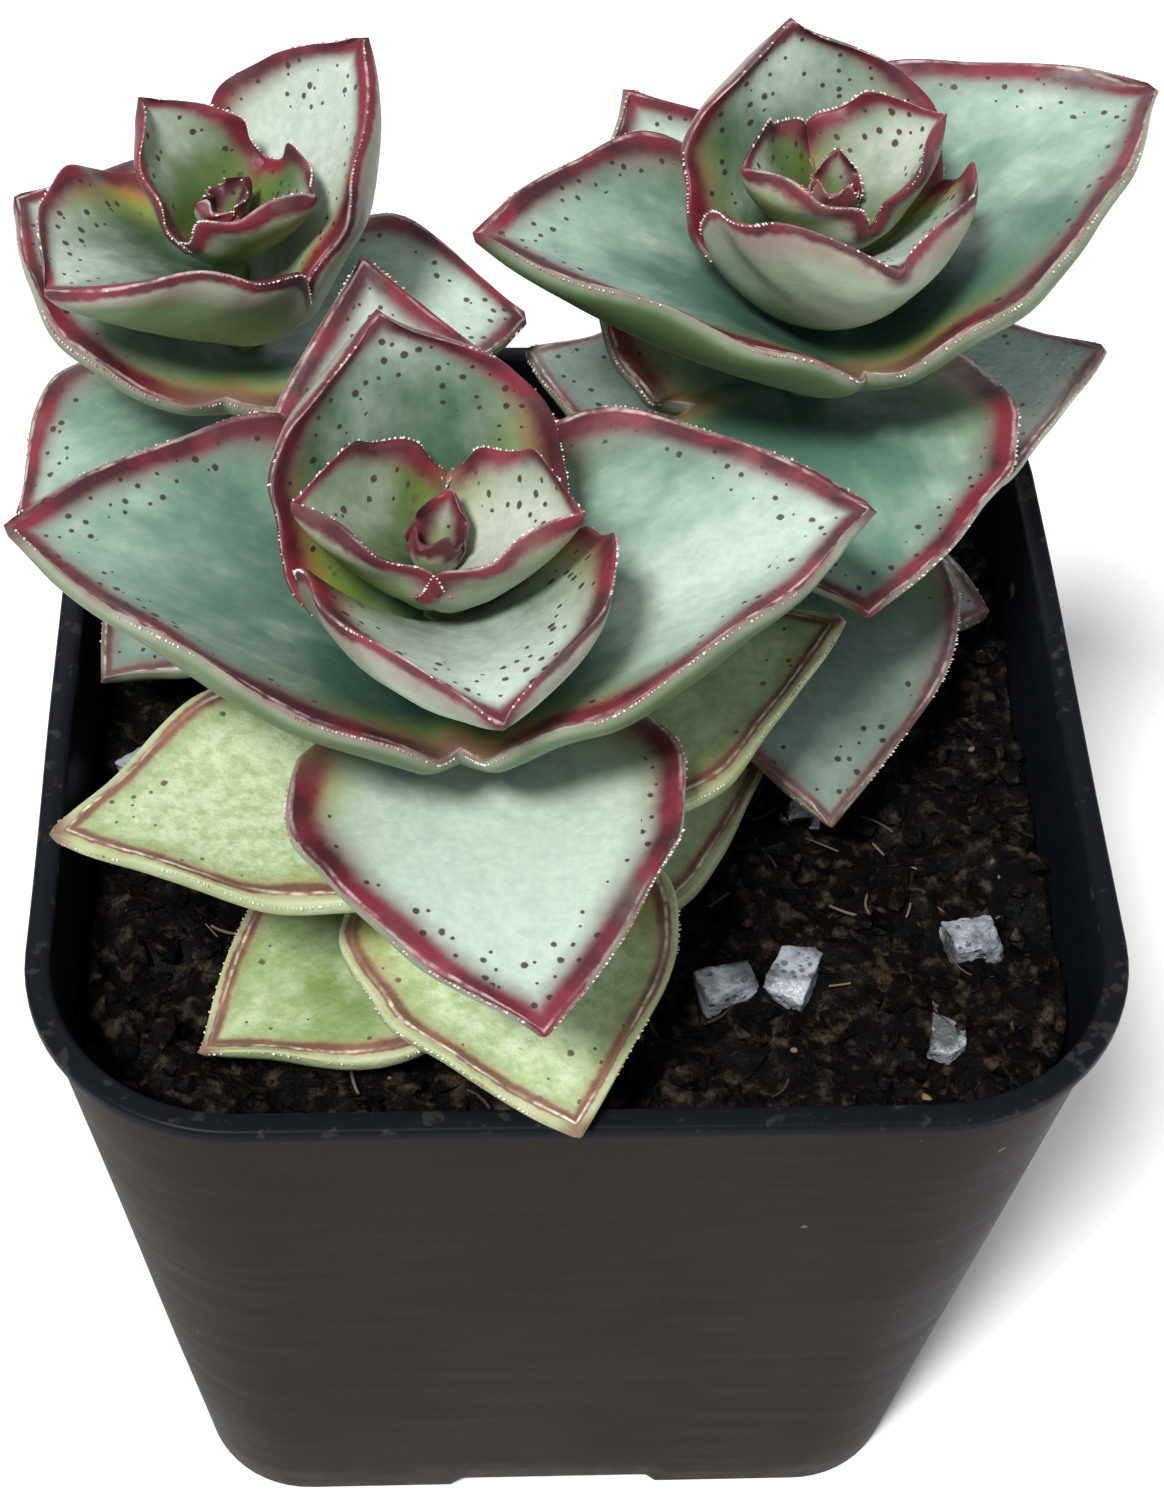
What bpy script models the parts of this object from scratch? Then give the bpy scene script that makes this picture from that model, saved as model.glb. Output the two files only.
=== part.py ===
"""A string of buttons in a small square nursery pot, modelled in metres with +Z up.

The origin is the middle of the pot's foot, on the surface it stands on, and the pot's front faces -Y.
The plant has three leafy stems. Each stem carries pairs of thick leaves, and the two leaves of a pair
are grown together round the stem, so a pair is one solid threaded on its stem like a button.
"""

import math
from collections import namedtuple

import bmesh
import bpy
from mathutils import Matrix, Vector

# Pot
RIM_SIDE = 0.057
RIM_CORNER = 0.0112
FOOT_SIDE = 0.0445
FOOT_CORNER = 0.0068
POT_HEIGHT = 0.052
WALL = 0.0009
LIP_HEIGHT = 0.0010
LIP_STEP = 0.0004
LIP_ROUND = 0.00025
FLOOR = 0.0016
NOTCH_WIDTH = 0.0125
NOTCH_HEIGHT = 0.0009
NOTCH_DEPTH = 0.0040
DRAIN_RADIUS = 0.0028
DRAIN_OFFSET = 0.0105
CORNER_STEPS = 6

# Soil
SOIL_LEVEL = 0.0462
SOIL_SWELL = 0.0007
SOIL_RINGS = 8
GAP = 0.0003

# Stems
STEM_FOOT_RADIUS = 0.0017
STEM_TIP_RADIUS = 0.0009
STEM_SIDES = 10
ROOT_DEPTH = 0.010

# Leaf sections, as shares of a leaf's length, half width and thickness
OUTLINE = ((0, 0.7), (0.14, 0.91), (0.3, 1), (0.5, 0.9), (0.7, 0.61), (0.87, 0.27), (1, 0))
ROUND_OUTLINE = ((0, 0.74), (0.15, 0.93), (0.35, 1), (0.55, 0.98), (0.75, 0.8), (0.88, 0.42), (1, 0))
THICKNESS = ((0, 0.9), (0.3, 1), (0.7, 0.75), (0.9, 0.45), (1, 0.25))
COLLAR = 0.12
MERGE = 0.3
UPPER_SHARE = 0.22
EDGE_BLUNTNESS = 0.65
SHARP_ANGLE = math.radians(40)

# A leaf: azimuth in degrees, length and half width in metres, its rise above the horizontal in degrees at
# its base and at its tip, and the lift of its margins over its midrib as a share of its half width.
# A pair: height of its middle above the surface, roll about its leaves' midribs in degrees, thickness,
# how far its outline goes from the pointed to the round one, and its two leaves.
Leaf = namedtuple("Leaf", "azimuth length half_width base_rise tip_rise cup")
Pair = namedtuple("Pair", "height roll thickness roundness first second")
Stem = namedtuple("Stem", "name foot crown pairs")
Grain = namedtuple("Grain", "x y size turn")

STEMS = (
    Stem("front", (-0.0045, -0.0120, 0.046), (-0.0076, -0.0140, 0.078), (
        Pair(0.0488, 4, 0.0026, 0, Leaf(214, 0.0180, 0.0080, 8, -2, 0.10), Leaf(24, 0.0172, 0.0070, 16, 8, 0.10)),
        Pair(0.0545, 0, 0.0028, 0, Leaf(285, 0.0180, 0.0086, 2, -10, 0.08), Leaf(100, 0.0160, 0.0075, 12, 4, 0.08)),
        Pair(0.0600, 4, 0.0028, 0, Leaf(192, 0.0210, 0.0085, 8, 0, 0.14), Leaf(21, 0.0212, 0.0082, 15, 8, 0.14)),
        Pair(0.0646, 0, 0.0029, 0.1, Leaf(280, 0.0200, 0.0094, 16, -6, 0.16), Leaf(104, 0.0243, 0.0094, 26, 46, 0.18)),
        Pair(0.0692, 6, 0.0030, 0.2, Leaf(177, 0.0222, 0.0104, 31, 18, 0.32), Leaf(7, 0.0215, 0.0104, 31, 18, 0.32)),
        Pair(0.0728, 0, 0.0034, 0.9, Leaf(281, 0.0138, 0.0070, 48, 12, 0.60), Leaf(112, 0.0154, 0.0071, 38, 82, 0.32)),
        Pair(0.0762, 0, 0.0017, 0.7, Leaf(188, 0.0086, 0.0043, 40, 40, 0.42), Leaf(342, 0.0090, 0.0043, 38, 46, 0.42)),
        Pair(0.0779, 0, 0.0011, 0.5, Leaf(276, 0.0036, 0.0019, 40, 56, 0.34), Leaf(100, 0.0048, 0.0019, 50, 64, 0.34)),
    )),
    Stem("right", (0.0125, 0.0120, 0.046), (0.0122, 0.0060, 0.084), (
        Pair(0.0498, 0, 0.0026, 0, Leaf(340, 0.0130, 0.0070, 6, 4, 0.10), Leaf(165, 0.0140, 0.0070, 6, 2, 0.10)),
        Pair(0.0555, 0, 0.0027, 0.1, Leaf(273, 0.0212, 0.0088, 0, -14, 0.10), Leaf(95, 0.0150, 0.0080, 10, 0, 0.10)),
        Pair(0.0612, 0, 0.0027, 0, Leaf(158, 0.0160, 0.0075, 8, 8, 0.12), Leaf(15, 0.0188, 0.0080, 14, 8, 0.12)),
        Pair(0.0666, 0, 0.0029, 0.2, Leaf(276, 0.0172, 0.0100, 14, -10, 0.16), Leaf(130, 0.0188, 0.0095, 32, 46, 0.18)),
        Pair(0.0722, 6, 0.0030, 0.2, Leaf(185, 0.0194, 0.0092, 30, 16, 0.34), Leaf(25, 0.0217, 0.0102, 32, 20, 0.34)),
        Pair(0.0760, 0, 0.0032, 0.9, Leaf(286, 0.0112, 0.0068, 48, 38, 0.58), Leaf(107, 0.0134, 0.0070, 38, 82, 0.32)),
        Pair(0.0797, 0, 0.0016, 0.7, Leaf(200, 0.0072, 0.0039, 42, 44, 0.40), Leaf(16, 0.0080, 0.0039, 42, 52, 0.40)),
        Pair(0.0814, 0, 0.0010, 0.5, Leaf(288, 0.0033, 0.0017, 42, 56, 0.30), Leaf(112, 0.0042, 0.0017, 50, 64, 0.30)),
    )),
    Stem("left", (-0.0160, 0.0125, 0.046), (-0.0186, 0.0120, 0.078), (
        Pair(0.0512, 0, 0.0025, 0, Leaf(227, 0.0142, 0.0062, 2, -6, 0.10), Leaf(47, 0.0130, 0.0065, 6, 0, 0.10)),
        Pair(0.0566, 0, 0.0025, 0, Leaf(150, 0.0120, 0.0065, 10, 0, 0.10), Leaf(325, 0.0130, 0.0068, 10, 0, 0.10)),
        Pair(0.0618, 0, 0.0027, 0.3, Leaf(210, 0.0146, 0.0080, 6, -12, 0.14), Leaf(35, 0.0140, 0.0070, 12, 4, 0.14)),
        Pair(0.0666, 0, 0.0028, 0.4, Leaf(156, 0.0146, 0.0084, 30, 18, 0.22), Leaf(10, 0.0158, 0.0078, 12, -14, 0.20)),
        Pair(0.0708, 8, 0.0032, 0.7, Leaf(218, 0.0126, 0.0074, 40, 18, 0.46), Leaf(38, 0.0152, 0.0068, 46, 66, 0.32)),
        Pair(0.0740, 0, 0.0015, 0.7, Leaf(328, 0.0080, 0.0037, 42, 46, 0.40), Leaf(143, 0.0086, 0.0037, 48, 62, 0.36)),
        Pair(0.0757, 0, 0.0010, 0.5, Leaf(234, 0.0032, 0.0015, 42, 56, 0.28), Leaf(58, 0.0040, 0.0015, 50, 64, 0.28)),
    )),
)

GRAINS = (
    Grain(0.0080, -0.0166, 0.0019, 20),
    Grain(0.0116, -0.0160, 0.0021, 65),
    Grain(0.0216, -0.0140, 0.0018, 10),
    Grain(0.0192, -0.0206, 0.0014, 80),
    Grain(-0.0236, -0.0010, 0.0018, 40),
    Grain(0.0128, -0.0046, 0.0014, 0),
)

# Material name: base colour, roughness
MATERIALS = {
    "pot_plastic": ((0.030, 0.028, 0.028), 0.45),
    "soil_mix": ((0.035, 0.022, 0.015), 0.95),
    "perlite": ((0.55, 0.56, 0.58), 0.85),
    "stem_bark": ((0.30, 0.24, 0.15), 0.8),
    "leaf_skin": ((0.30, 0.47, 0.36), 0.5),
}


def clear_scene():
    """Removes whatever the scene holds."""
    for obj in list(bpy.data.objects):
        bpy.data.objects.remove(obj)


def make_collection(name):
    """Returns a new collection linked to the scene."""
    collection = bpy.data.collections.new(name)
    bpy.context.scene.collection.children.link(collection)
    return collection


def make_material(name):
    """Returns the named material with its Principled BSDF set."""
    colour, roughness = MATERIALS[name]
    material = bpy.data.materials.new(name)
    material.use_nodes = True
    shader = material.node_tree.nodes["Principled BSDF"]
    shader.inputs["Base Color"].default_value = (*colour, 1)
    shader.inputs["Roughness"].default_value = roughness
    shader.inputs["Metallic"].default_value = 0
    return material


def add_object(name, bm, collection, material=None):
    """Turns a bmesh into an object in the collection."""
    mesh = bpy.data.meshes.new(name)
    bm.to_mesh(mesh)
    bm.free()
    if material:
        mesh.materials.append(material)
        mesh.shade_smooth()
        mesh.set_sharp_from_angle(angle=SHARP_ANGLE)
    obj = bpy.data.objects.new(name, mesh)
    collection.objects.link(obj)
    return obj


def add_cutter(name, bm, collection):
    """Turns a bmesh into a cutter, which shows as wires and isn't part of the plant."""
    obj = add_object(name, bm, collection)
    obj.hide_render = True
    obj.display_type = "WIRE"
    return obj


def cut(obj, cutter):
    """Cuts one object with another."""
    modifier = obj.modifiers.new(cutter.name, "BOOLEAN")
    modifier.operation = "DIFFERENCE"
    modifier.solver = "EXACT"
    modifier.object = cutter


def smooth_step(value):
    """Eases a value from 0 to 1, with no slope at either end."""
    value = max(0.0, min(1.0, value))
    return value * value * (3 - 2 * value)


def read_profile(profile, at):
    """Reads the line through a profile's points, each (place, value)."""
    for (x0, y0), (x1, y1) in zip(profile, profile[1:]):
        if at <= x1:
            return y0 + (y1 - y0) * (at - x0) / (x1 - x0)
    return profile[-1][1]


def rounded_ring(bm, side, corner, height):
    """Adds the points of one level ring: a square with round corners. Returns them in order."""
    reach = side / 2 - corner
    centres = ((reach, reach), (-reach, reach), (-reach, -reach), (reach, -reach))
    verts = []
    for quarter, (x, y) in enumerate(centres):
        for step in range(CORNER_STEPS + 1):
            turn = math.radians(90) * (quarter + step / CORNER_STEPS)
            verts.append(bm.verts.new((x + corner * math.cos(turn), y + corner * math.sin(turn), height)))
    return verts


def loft(bm, rings):
    """Joins the rings in order and closes both ends."""
    for one, other in zip(rings, rings[1:]):
        for index in range(len(one)):
            bm.faces.new((one[index - 1], one[index], other[index], other[index - 1]))
    bm.faces.new(rings[0])
    bm.faces.new(rings[-1])
    bmesh.ops.recalc_face_normals(bm, faces=bm.faces)


def wall_at(height, inset):
    """Side and corner radius of the pot's outer wall at a height, moved in by an inset."""
    rise = height / POT_HEIGHT
    side = FOOT_SIDE + (RIM_SIDE - 2 * LIP_STEP - FOOT_SIDE) * rise
    corner = FOOT_CORNER + (RIM_CORNER - LIP_STEP - FOOT_CORNER) * rise
    return side - 2 * inset, corner - inset


def make_pot(parts, cutters, material):
    """The thin tapered pot, with its lip, its floor, a notch in the foot of each side and drain holes."""
    bm = bmesh.new()
    top = POT_HEIGHT
    lip_foot = top - LIP_HEIGHT
    stations = (
        (*wall_at(0, LIP_ROUND), 0),
        (*wall_at(LIP_ROUND, 0), LIP_ROUND),
        (*wall_at(lip_foot, 0), lip_foot),
        (RIM_SIDE, RIM_CORNER, lip_foot + LIP_ROUND),
        (RIM_SIDE, RIM_CORNER, top - LIP_ROUND),
        (RIM_SIDE - 2 * LIP_ROUND, RIM_CORNER - LIP_ROUND, top),
        (*wall_at(top, WALL - LIP_ROUND), top),
        (*wall_at(top - LIP_ROUND, WALL), top - LIP_ROUND),
        (*wall_at(FLOOR, WALL), FLOOR),
    )
    loft(bm, [rounded_ring(bm, *station) for station in stations])
    pot = add_object("pot", bm, parts, material)
    for index in range(4):
        turn = Matrix.Rotation(math.radians(90 * index), 4, "Z")
        size = Matrix.Diagonal((NOTCH_DEPTH * 2, NOTCH_WIDTH, NOTCH_HEIGHT * 2, 1))
        bm = bmesh.new()
        bmesh.ops.create_cube(bm, size=1, matrix=turn @ Matrix.Translation((FOOT_SIDE / 2, 0, 0)) @ size)
        cut(pot, add_cutter(f"notch_cutter_{index + 1}", bm, cutters))
        place = turn @ Matrix.Translation((DRAIN_OFFSET, DRAIN_OFFSET, 0))
        bm = bmesh.new()
        bmesh.ops.create_cone(
            bm, cap_ends=True, segments=16, radius1=DRAIN_RADIUS, radius2=DRAIN_RADIUS, depth=FLOOR * 3, matrix=place
        )
        cut(pot, add_cutter(f"drain_cutter_{index + 1}", bm, cutters))
    return pot


def soil_height(x, y):
    """Height of the soil's top: low swells, and a slight rise towards the front right."""
    swell = math.sin(430 * x + 1.1) * math.cos(390 * y - 0.6) + 0.6 * math.sin(760 * (x + y) + 2)
    return SOIL_LEVEL + SOIL_SWELL * swell + 0.02 * (x - y)


def make_soil(parts, material):
    """The soil fills the pot from just above its floor, and its top is uneven."""
    bm = bmesh.new()
    bottom = FLOOR + GAP
    side, corner = wall_at(SOIL_LEVEL - 2 * SOIL_SWELL, WALL + GAP)
    rings = [rounded_ring(bm, *wall_at(bottom, WALL + GAP), bottom)]
    rings.append(rounded_ring(bm, side, corner, SOIL_LEVEL - 3 * SOIL_SWELL))
    for step in range(SOIL_RINGS):
        share = 1 - step / SOIL_RINGS
        ring = rounded_ring(bm, side * share, corner * share, 0)
        for vert in ring:
            vert.co.z = soil_height(vert.co.x, vert.co.y)
        rings.append(ring)
    loft(bm, rings)
    return add_object("soil", bm, parts, material)


def stem_line(stem, height):
    """The point of a stem's straight middle line at a height."""
    foot, crown = Vector(stem.foot), Vector(stem.crown)
    return foot.lerp(crown, (height - foot.z) / (crown.z - foot.z))


def make_rod(stem, extra_radius, low, high):
    """A tapered round rod along the stem's line, from one height to another, as a bmesh."""
    bm = bmesh.new()
    start, end = stem_line(stem, low), stem_line(stem, high)
    along = end - start
    place = Matrix.Translation((start + end) / 2) @ along.to_track_quat("Z", "Y").to_matrix().to_4x4()
    bmesh.ops.create_cone(
        bm,
        cap_ends=True,
        segments=STEM_SIDES,
        radius1=STEM_FOOT_RADIUS + extra_radius,
        radius2=STEM_TIP_RADIUS + extra_radius,
        depth=along.length,
        matrix=place,
    )
    return bm


def midrib(leaf, share, steps=24):
    """Distance out and height of a leaf's midrib at a share of its length, and its rise there in radians."""

    def rise(at):
        angle = leaf.base_rise + (leaf.tip_rise - leaf.base_rise) * at
        return math.radians(angle * min(1, at / COLLAR))

    out = up = 0.0
    piece = share / steps
    for step in range(steps):
        angle = rise((step + 0.5) * piece)
        out += math.cos(angle) * piece * leaf.length
        up += math.sin(angle) * piece * leaf.length
    return out, up, rise(share)


def make_pair(name, pair, middle, parts, material, around, along):
    """One pair of leaves, grown together at the middle, from a sphere whose poles become the two tips."""
    bm = bmesh.new()
    poles_to_x = Matrix.Rotation(math.radians(90), 4, "Y")
    bmesh.ops.create_uvsphere(bm, u_segments=around, v_segments=along, radius=1, matrix=poles_to_x)
    first, second = pair.first, pair.second
    middle_width = (first.half_width + second.half_width) / 2
    middle_cup = (first.cup + second.cup) / 2
    opposite = second.azimuth - 180
    bend = (opposite - first.azimuth + 180) % 360 - 180
    axis = first.azimuth + bend / 2
    for vert in bm.verts:
        reach = math.asin(max(-1, min(1, vert.co.x))) / math.radians(90)
        leaf, turn = (first, 1) if reach >= 0 else (second, -1)
        share = abs(reach)
        out, up, rise = midrib(leaf, share)
        ease = smooth_step(share / MERGE)
        azimuth = math.radians(leaf.azimuth)
        side_azimuth = math.radians(axis + (-turn * bend / 2) * ease)
        radial = Vector((math.cos(azimuth), math.sin(azimuth), 0))
        across = Vector((-math.sin(side_azimuth), math.cos(side_azimuth), 0))
        normal = Vector((0, 0, 1)) * math.cos(rise) - radial * math.sin(rise)
        round_the_edge = math.hypot(vert.co.y, vert.co.z) or 1
        sideways, upright = vert.co.y / round_the_edge, vert.co.z / round_the_edge
        roll = math.radians(pair.roll) * ease
        pointed, rounded = read_profile(OUTLINE, share), read_profile(ROUND_OUTLINE, share)
        width = middle_width + (leaf.half_width - middle_width) * ease
        width *= pointed + (rounded - pointed) * pair.roundness
        depth = pair.thickness * read_profile(THICKNESS, share)
        edge = abs(upright) ** EDGE_BLUNTNESS
        cup = middle_cup + (leaf.cup - middle_cup) * ease
        lift = cup * width * sideways**2
        lift += depth * edge * (UPPER_SHARE if upright > 0 else UPPER_SHARE - 1)
        y = sideways * width
        spot = across * (y * math.cos(roll) - lift * math.sin(roll))
        spot += normal * (y * math.sin(roll) + lift * math.cos(roll))
        vert.co = middle + radial * out + Vector((0, 0, up)) + spot
    bmesh.ops.recalc_face_normals(bm, faces=bm.faces)
    return add_object(name, bm, parts, material)


def make_stem(stem, parts, cutters, soil, materials):
    """One stem in its hole in the soil, with its pairs of leaves threaded on it."""
    low = SOIL_LEVEL - ROOT_DEPTH
    high = stem.pairs[-1].height
    add_object(f"{stem.name}_stem", make_rod(stem, 0, low, high), parts, materials["stem_bark"])
    cutter = add_cutter(f"{stem.name}_bore", make_rod(stem, GAP, low - GAP, high + GAP), cutters)
    cut(soil, cutter)
    for index, pair in enumerate(stem.pairs):
        small = pair.first.half_width < 0.006
        around, along = (8, 12) if small else (12, 16)
        name = f"{stem.name}_pair_{index + 1}"
        middle = stem_line(stem, pair.height)
        leaves = make_pair(name, pair, middle, parts, materials["leaf_skin"], around, along)
        cut(leaves, cutter)


def make_grain(name, grain, parts, cutters, soil, material):
    """One angular perlite grain, sunk a little into a socket in the soil."""
    height = soil_height(grain.x, grain.y) + grain.size * 0.35
    place = Matrix.Translation((grain.x, grain.y, height)) @ Matrix.Rotation(math.radians(grain.turn), 4, "Z")
    for extra in (0, GAP):
        bm = bmesh.new()
        size = grain.size + extra
        shape = Matrix.Diagonal((size, size * 0.8, size * 0.7, 1))
        bmesh.ops.create_icosphere(bm, subdivisions=1, radius=1, matrix=place @ shape)
        if extra:
            cut(soil, add_cutter(f"{name}_socket", bm, cutters))
        else:
            add_object(name, bm, parts, material)


def main():
    """Builds the pot, the soil, the perlite and the three leafy stems."""
    clear_scene()
    parts = make_collection("string_of_buttons")
    cutters = make_collection("cutters")
    materials = {name: make_material(name) for name in MATERIALS}
    make_pot(parts, cutters, materials["pot_plastic"])
    soil = make_soil(parts, materials["soil_mix"])
    for stem in STEMS:
        make_stem(stem, parts, cutters, soil, materials)
    for index, grain in enumerate(GRAINS):
        make_grain(f"perlite_{index + 1}", grain, parts, cutters, soil, materials["perlite"])


main()
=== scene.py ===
"""A string of buttons with crimson-edged leaves, planted in a small square nursery pot."""

import logging
import math
import random
from dataclasses import dataclass
from enum import Enum
from functools import reduce
from typing import Any, Iterable, Sequence

import bmesh
import bpy
from bmesh.types import BMEdge, BMesh, BMVert
from bpy.types import Material, Node, NodeSocket, NodeTree, Object
from mathutils import Matrix, Vector, noise


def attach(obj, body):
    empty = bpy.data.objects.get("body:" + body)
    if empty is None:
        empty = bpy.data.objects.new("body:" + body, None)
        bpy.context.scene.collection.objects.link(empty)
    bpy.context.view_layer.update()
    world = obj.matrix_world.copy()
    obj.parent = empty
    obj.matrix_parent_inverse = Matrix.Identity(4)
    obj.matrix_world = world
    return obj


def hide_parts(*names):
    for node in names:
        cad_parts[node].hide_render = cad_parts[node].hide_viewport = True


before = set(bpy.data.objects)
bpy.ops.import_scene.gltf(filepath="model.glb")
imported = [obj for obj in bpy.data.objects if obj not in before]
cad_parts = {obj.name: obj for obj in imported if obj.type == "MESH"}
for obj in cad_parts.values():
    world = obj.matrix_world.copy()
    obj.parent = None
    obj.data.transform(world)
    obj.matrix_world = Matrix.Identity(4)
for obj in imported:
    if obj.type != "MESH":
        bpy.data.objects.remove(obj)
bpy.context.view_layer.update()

NOISE_SEED = 7
LOG = logging.getLogger("string_of_buttons")

Colour = tuple[float, float, float]
Point = tuple[float, float, float]
Profile = Sequence[tuple[float, float]]


def smooth_step(value: float) -> float:
    """Eases a value from 0 to 1, with no slope at either end."""
    value = max(0.0, min(1.0, value))
    return value * value * (3 - 2 * value)


def read_profile(profile: Profile, at: float) -> float:
    """Reads a smooth curve through a profile's points.

    Args:
        profile: Points (place, value), in order of place.
        at: The place to read.

    Returns:
        The value there, from a cubic curve whose slopes never overshoot.
    """
    last = len(profile) - 1
    index = next((i for i in range(last) if at <= profile[i + 1][0]), last - 1)

    def grade(i: int) -> float:
        """Slope of the straight line from one point of the profile to the next."""
        return (profile[i + 1][1] - profile[i][1]) / (profile[i + 1][0] - profile[i][0])

    def slope(i: int) -> float:
        """Slope of the curve at one point of the profile."""
        if i <= 0 or i >= last:
            return grade(max(0, min(last - 1, i)))
        before, after = grade(i - 1), grade(i)
        return 0.0 if before * after <= 0 else 2 * before * after / (before + after)

    (x0, y0), (x1, y1) = profile[index], profile[index + 1]
    span = x1 - x0
    t = max(0.0, min(1.0, (at - x0) / span))
    m0, m1 = slope(index) * span, slope(index + 1) * span
    return (
        y0 * (2 * t**3 - 3 * t**2 + 1)
        + m0 * (t**3 - 2 * t**2 + t)
        + y1 * (3 * t**2 - 2 * t**3)
        + m1 * (t**3 - t**2)
    )


def square_radius(turn: float, side: float, corner: float) -> float:
    """Distance from the middle of a round-cornered square to its edge.

    Args:
        turn: Direction in radians.
        side: Side of the square.
        corner: Radius of its corners.

    Returns:
        The distance in that direction.
    """
    long, short = sorted((abs(math.cos(turn)), abs(math.sin(turn))), reverse=True)
    half = side / 2
    reach = half - corner
    if half * short <= reach * long:
        return half / long
    both = reach * (long + short)
    return both + math.sqrt(max(0.0, both * both - (2 * reach * reach - corner * corner)))


def extrude_ring(bm: BMesh, edges: Sequence[BMEdge]) -> tuple[list[BMVert], list[BMEdge]]:
    """Extrudes a closed ring of edges.

    Args:
        bm: The mesh.
        edges: The ring's edges.

    Returns:
        The new ring's points and its edges, still where the old ones are.
    """
    made = bmesh.ops.extrude_edge_only(bm, edges=edges)["geom"]
    verts = [part for part in made if isinstance(part, BMVert)]
    kept = set(verts)
    edges = [part for part in made if isinstance(part, BMEdge) and kept.issuperset(part.verts)]
    return verts, edges


def add_piece(name: str, bm: BMesh, materials: Sequence[Material]) -> Object:
    """Turns a bmesh into a smooth-shaded object at the origin.

    Args:
        name: The piece's name.
        bm: Its mesh, in metres in the plant's frame, which is freed.
        materials: Its materials, in the order of their slots.

    Returns:
        The new object.
    """
    mesh = bpy.data.meshes.new(name)
    bm.to_mesh(mesh)
    bm.free()
    for material in materials:
        mesh.materials.append(material)
    mesh.shade_smooth()
    piece = bpy.data.objects.new(name, mesh)
    bpy.context.scene.collection.objects.link(piece)
    return piece


def settle(piece: Object, nodes: Iterable[str] = ()) -> None:
    """Makes a piece ride on the pot's body and hides the nodes it stands for."""
    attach(piece, "root")
    if nodes:
        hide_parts(*nodes)
    LOG.info("%s: %d faces", piece.name, len(piece.data.polygons))


class Graph:
    """A small helper that adds nodes to a node tree and links them."""

    def __init__(self, tree: NodeTree) -> None:
        """Keeps the tree."""
        self.tree = tree

    def feed(self, node: Node, inputs: dict[Any, Any]) -> None:
        """Fills a node's inputs.

        Args:
            node: The node.
            inputs: Values or output sockets for its inputs, by name or index.
        """
        for key, value in inputs.items():
            socket = node.inputs[key]
            if isinstance(value, NodeSocket):
                self.tree.links.new(value, socket)
            elif socket.type == "RGBA":
                socket.default_value = (*value, 1)
            else:
                socket.default_value = value

    def add(self, kind: str, inputs: dict[Any, Any], **settings: Any) -> Node:
        """Adds a node.

        Args:
            kind: The node's type name without its ShaderNode prefix.
            inputs: Values or output sockets for its inputs, by name or index.
            **settings: The node's own properties.

        Returns:
            The new node.
        """
        node = self.tree.nodes.new("ShaderNode" + kind)
        for key, value in settings.items():
            setattr(node, key, value)
        self.feed(node, inputs)
        return node

    def math(self, operation: str, *values: Any) -> NodeSocket:
        """Adds a Math node and returns its output."""
        return self.add("Math", dict(enumerate(values)), operation=operation).outputs[0]

    def product(self, *values: Any) -> NodeSocket:
        """Multiplies values together."""
        return reduce(lambda so_far, value: self.math("MULTIPLY", so_far, value), values)

    def total(self, *values: Any) -> NodeSocket:
        """Adds values up."""
        return reduce(lambda so_far, value: self.math("ADD", so_far, value), values)

    def ramp(self, value: Any, low: float, high: float, start: float = 0, end: float = 1) -> NodeSocket:
        """Eases a value that runs from low to high into one from start to end."""
        inputs = {"Value": value, "From Min": low, "From Max": high, "To Min": start, "To Max": end}
        return self.add("MapRange", inputs, interpolation_type="SMOOTHSTEP").outputs["Result"]

    def mix(self, share: Any, first: Any, second: Any) -> NodeSocket:
        """Mixes two colours."""
        return self.add("Mix", {0: share, 6: first, 7: second}, data_type="RGBA").outputs[2]

    def blend(self, share: Any, first: Any, second: Any) -> NodeSocket:
        """Mixes two numbers."""
        return self.add("Mix", {0: share, 2: first, 3: second}, data_type="FLOAT").outputs[0]

    def place(self) -> NodeSocket:
        """Returns the object coordinates."""
        return self.add("TexCoord", {}).outputs["Object"]

    def attribute(self, name: str, output: str = "Fac") -> NodeSocket:
        """Returns a value, or with output "Vector" a vector, stored on the mesh."""
        return self.add("Attribute", {}, attribute_name=name).outputs[output]

    def noise(self, scale: Any, detail: float = 3, place: Any = None, rough: float = 0.5) -> NodeSocket:
        """Adds noise, in the object's own coordinates unless a place is given, and returns its value."""
        inputs = {"Vector": place or self.place(), "Scale": scale, "Detail": detail, "Roughness": rough}
        return self.add("TexNoise", inputs).outputs["Fac"]

    def patches(self, scale: float, detail: float, *steps: float) -> NodeSocket:
        """Noise eased by a ramp with the given steps."""
        return self.ramp(self.noise(scale, detail), *steps)

    def jitter(self, scale: float, detail: float, width: float) -> NodeSocket:
        """Noise that swings about zero, with a set width."""
        return self.product(self.math("SUBTRACT", self.noise(scale, detail), 0.5), width)

    def bump(self, height: Any, distance: float, strength: float) -> NodeSocket:
        """Turns a height into a normal."""
        return self.add("Bump", {"Height": height, "Distance": distance, "Strength": strength}).outputs[0]

    def group(self, tree: NodeTree, inputs: dict[Any, Any]) -> NodeSocket:
        """Places a node group and returns its output."""
        return self.add("Group", inputs, node_tree=tree).outputs[0]


def start_material(name: str) -> tuple[Material, Graph, Node]:
    """Makes an empty material.

    Args:
        name: The material's name.

    Returns:
        The material, its graph and its Principled BSDF.
    """
    material = bpy.data.materials.new(name)
    material.use_nodes = True
    return material, Graph(material.node_tree), material.node_tree.nodes["Principled BSDF"]


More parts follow.
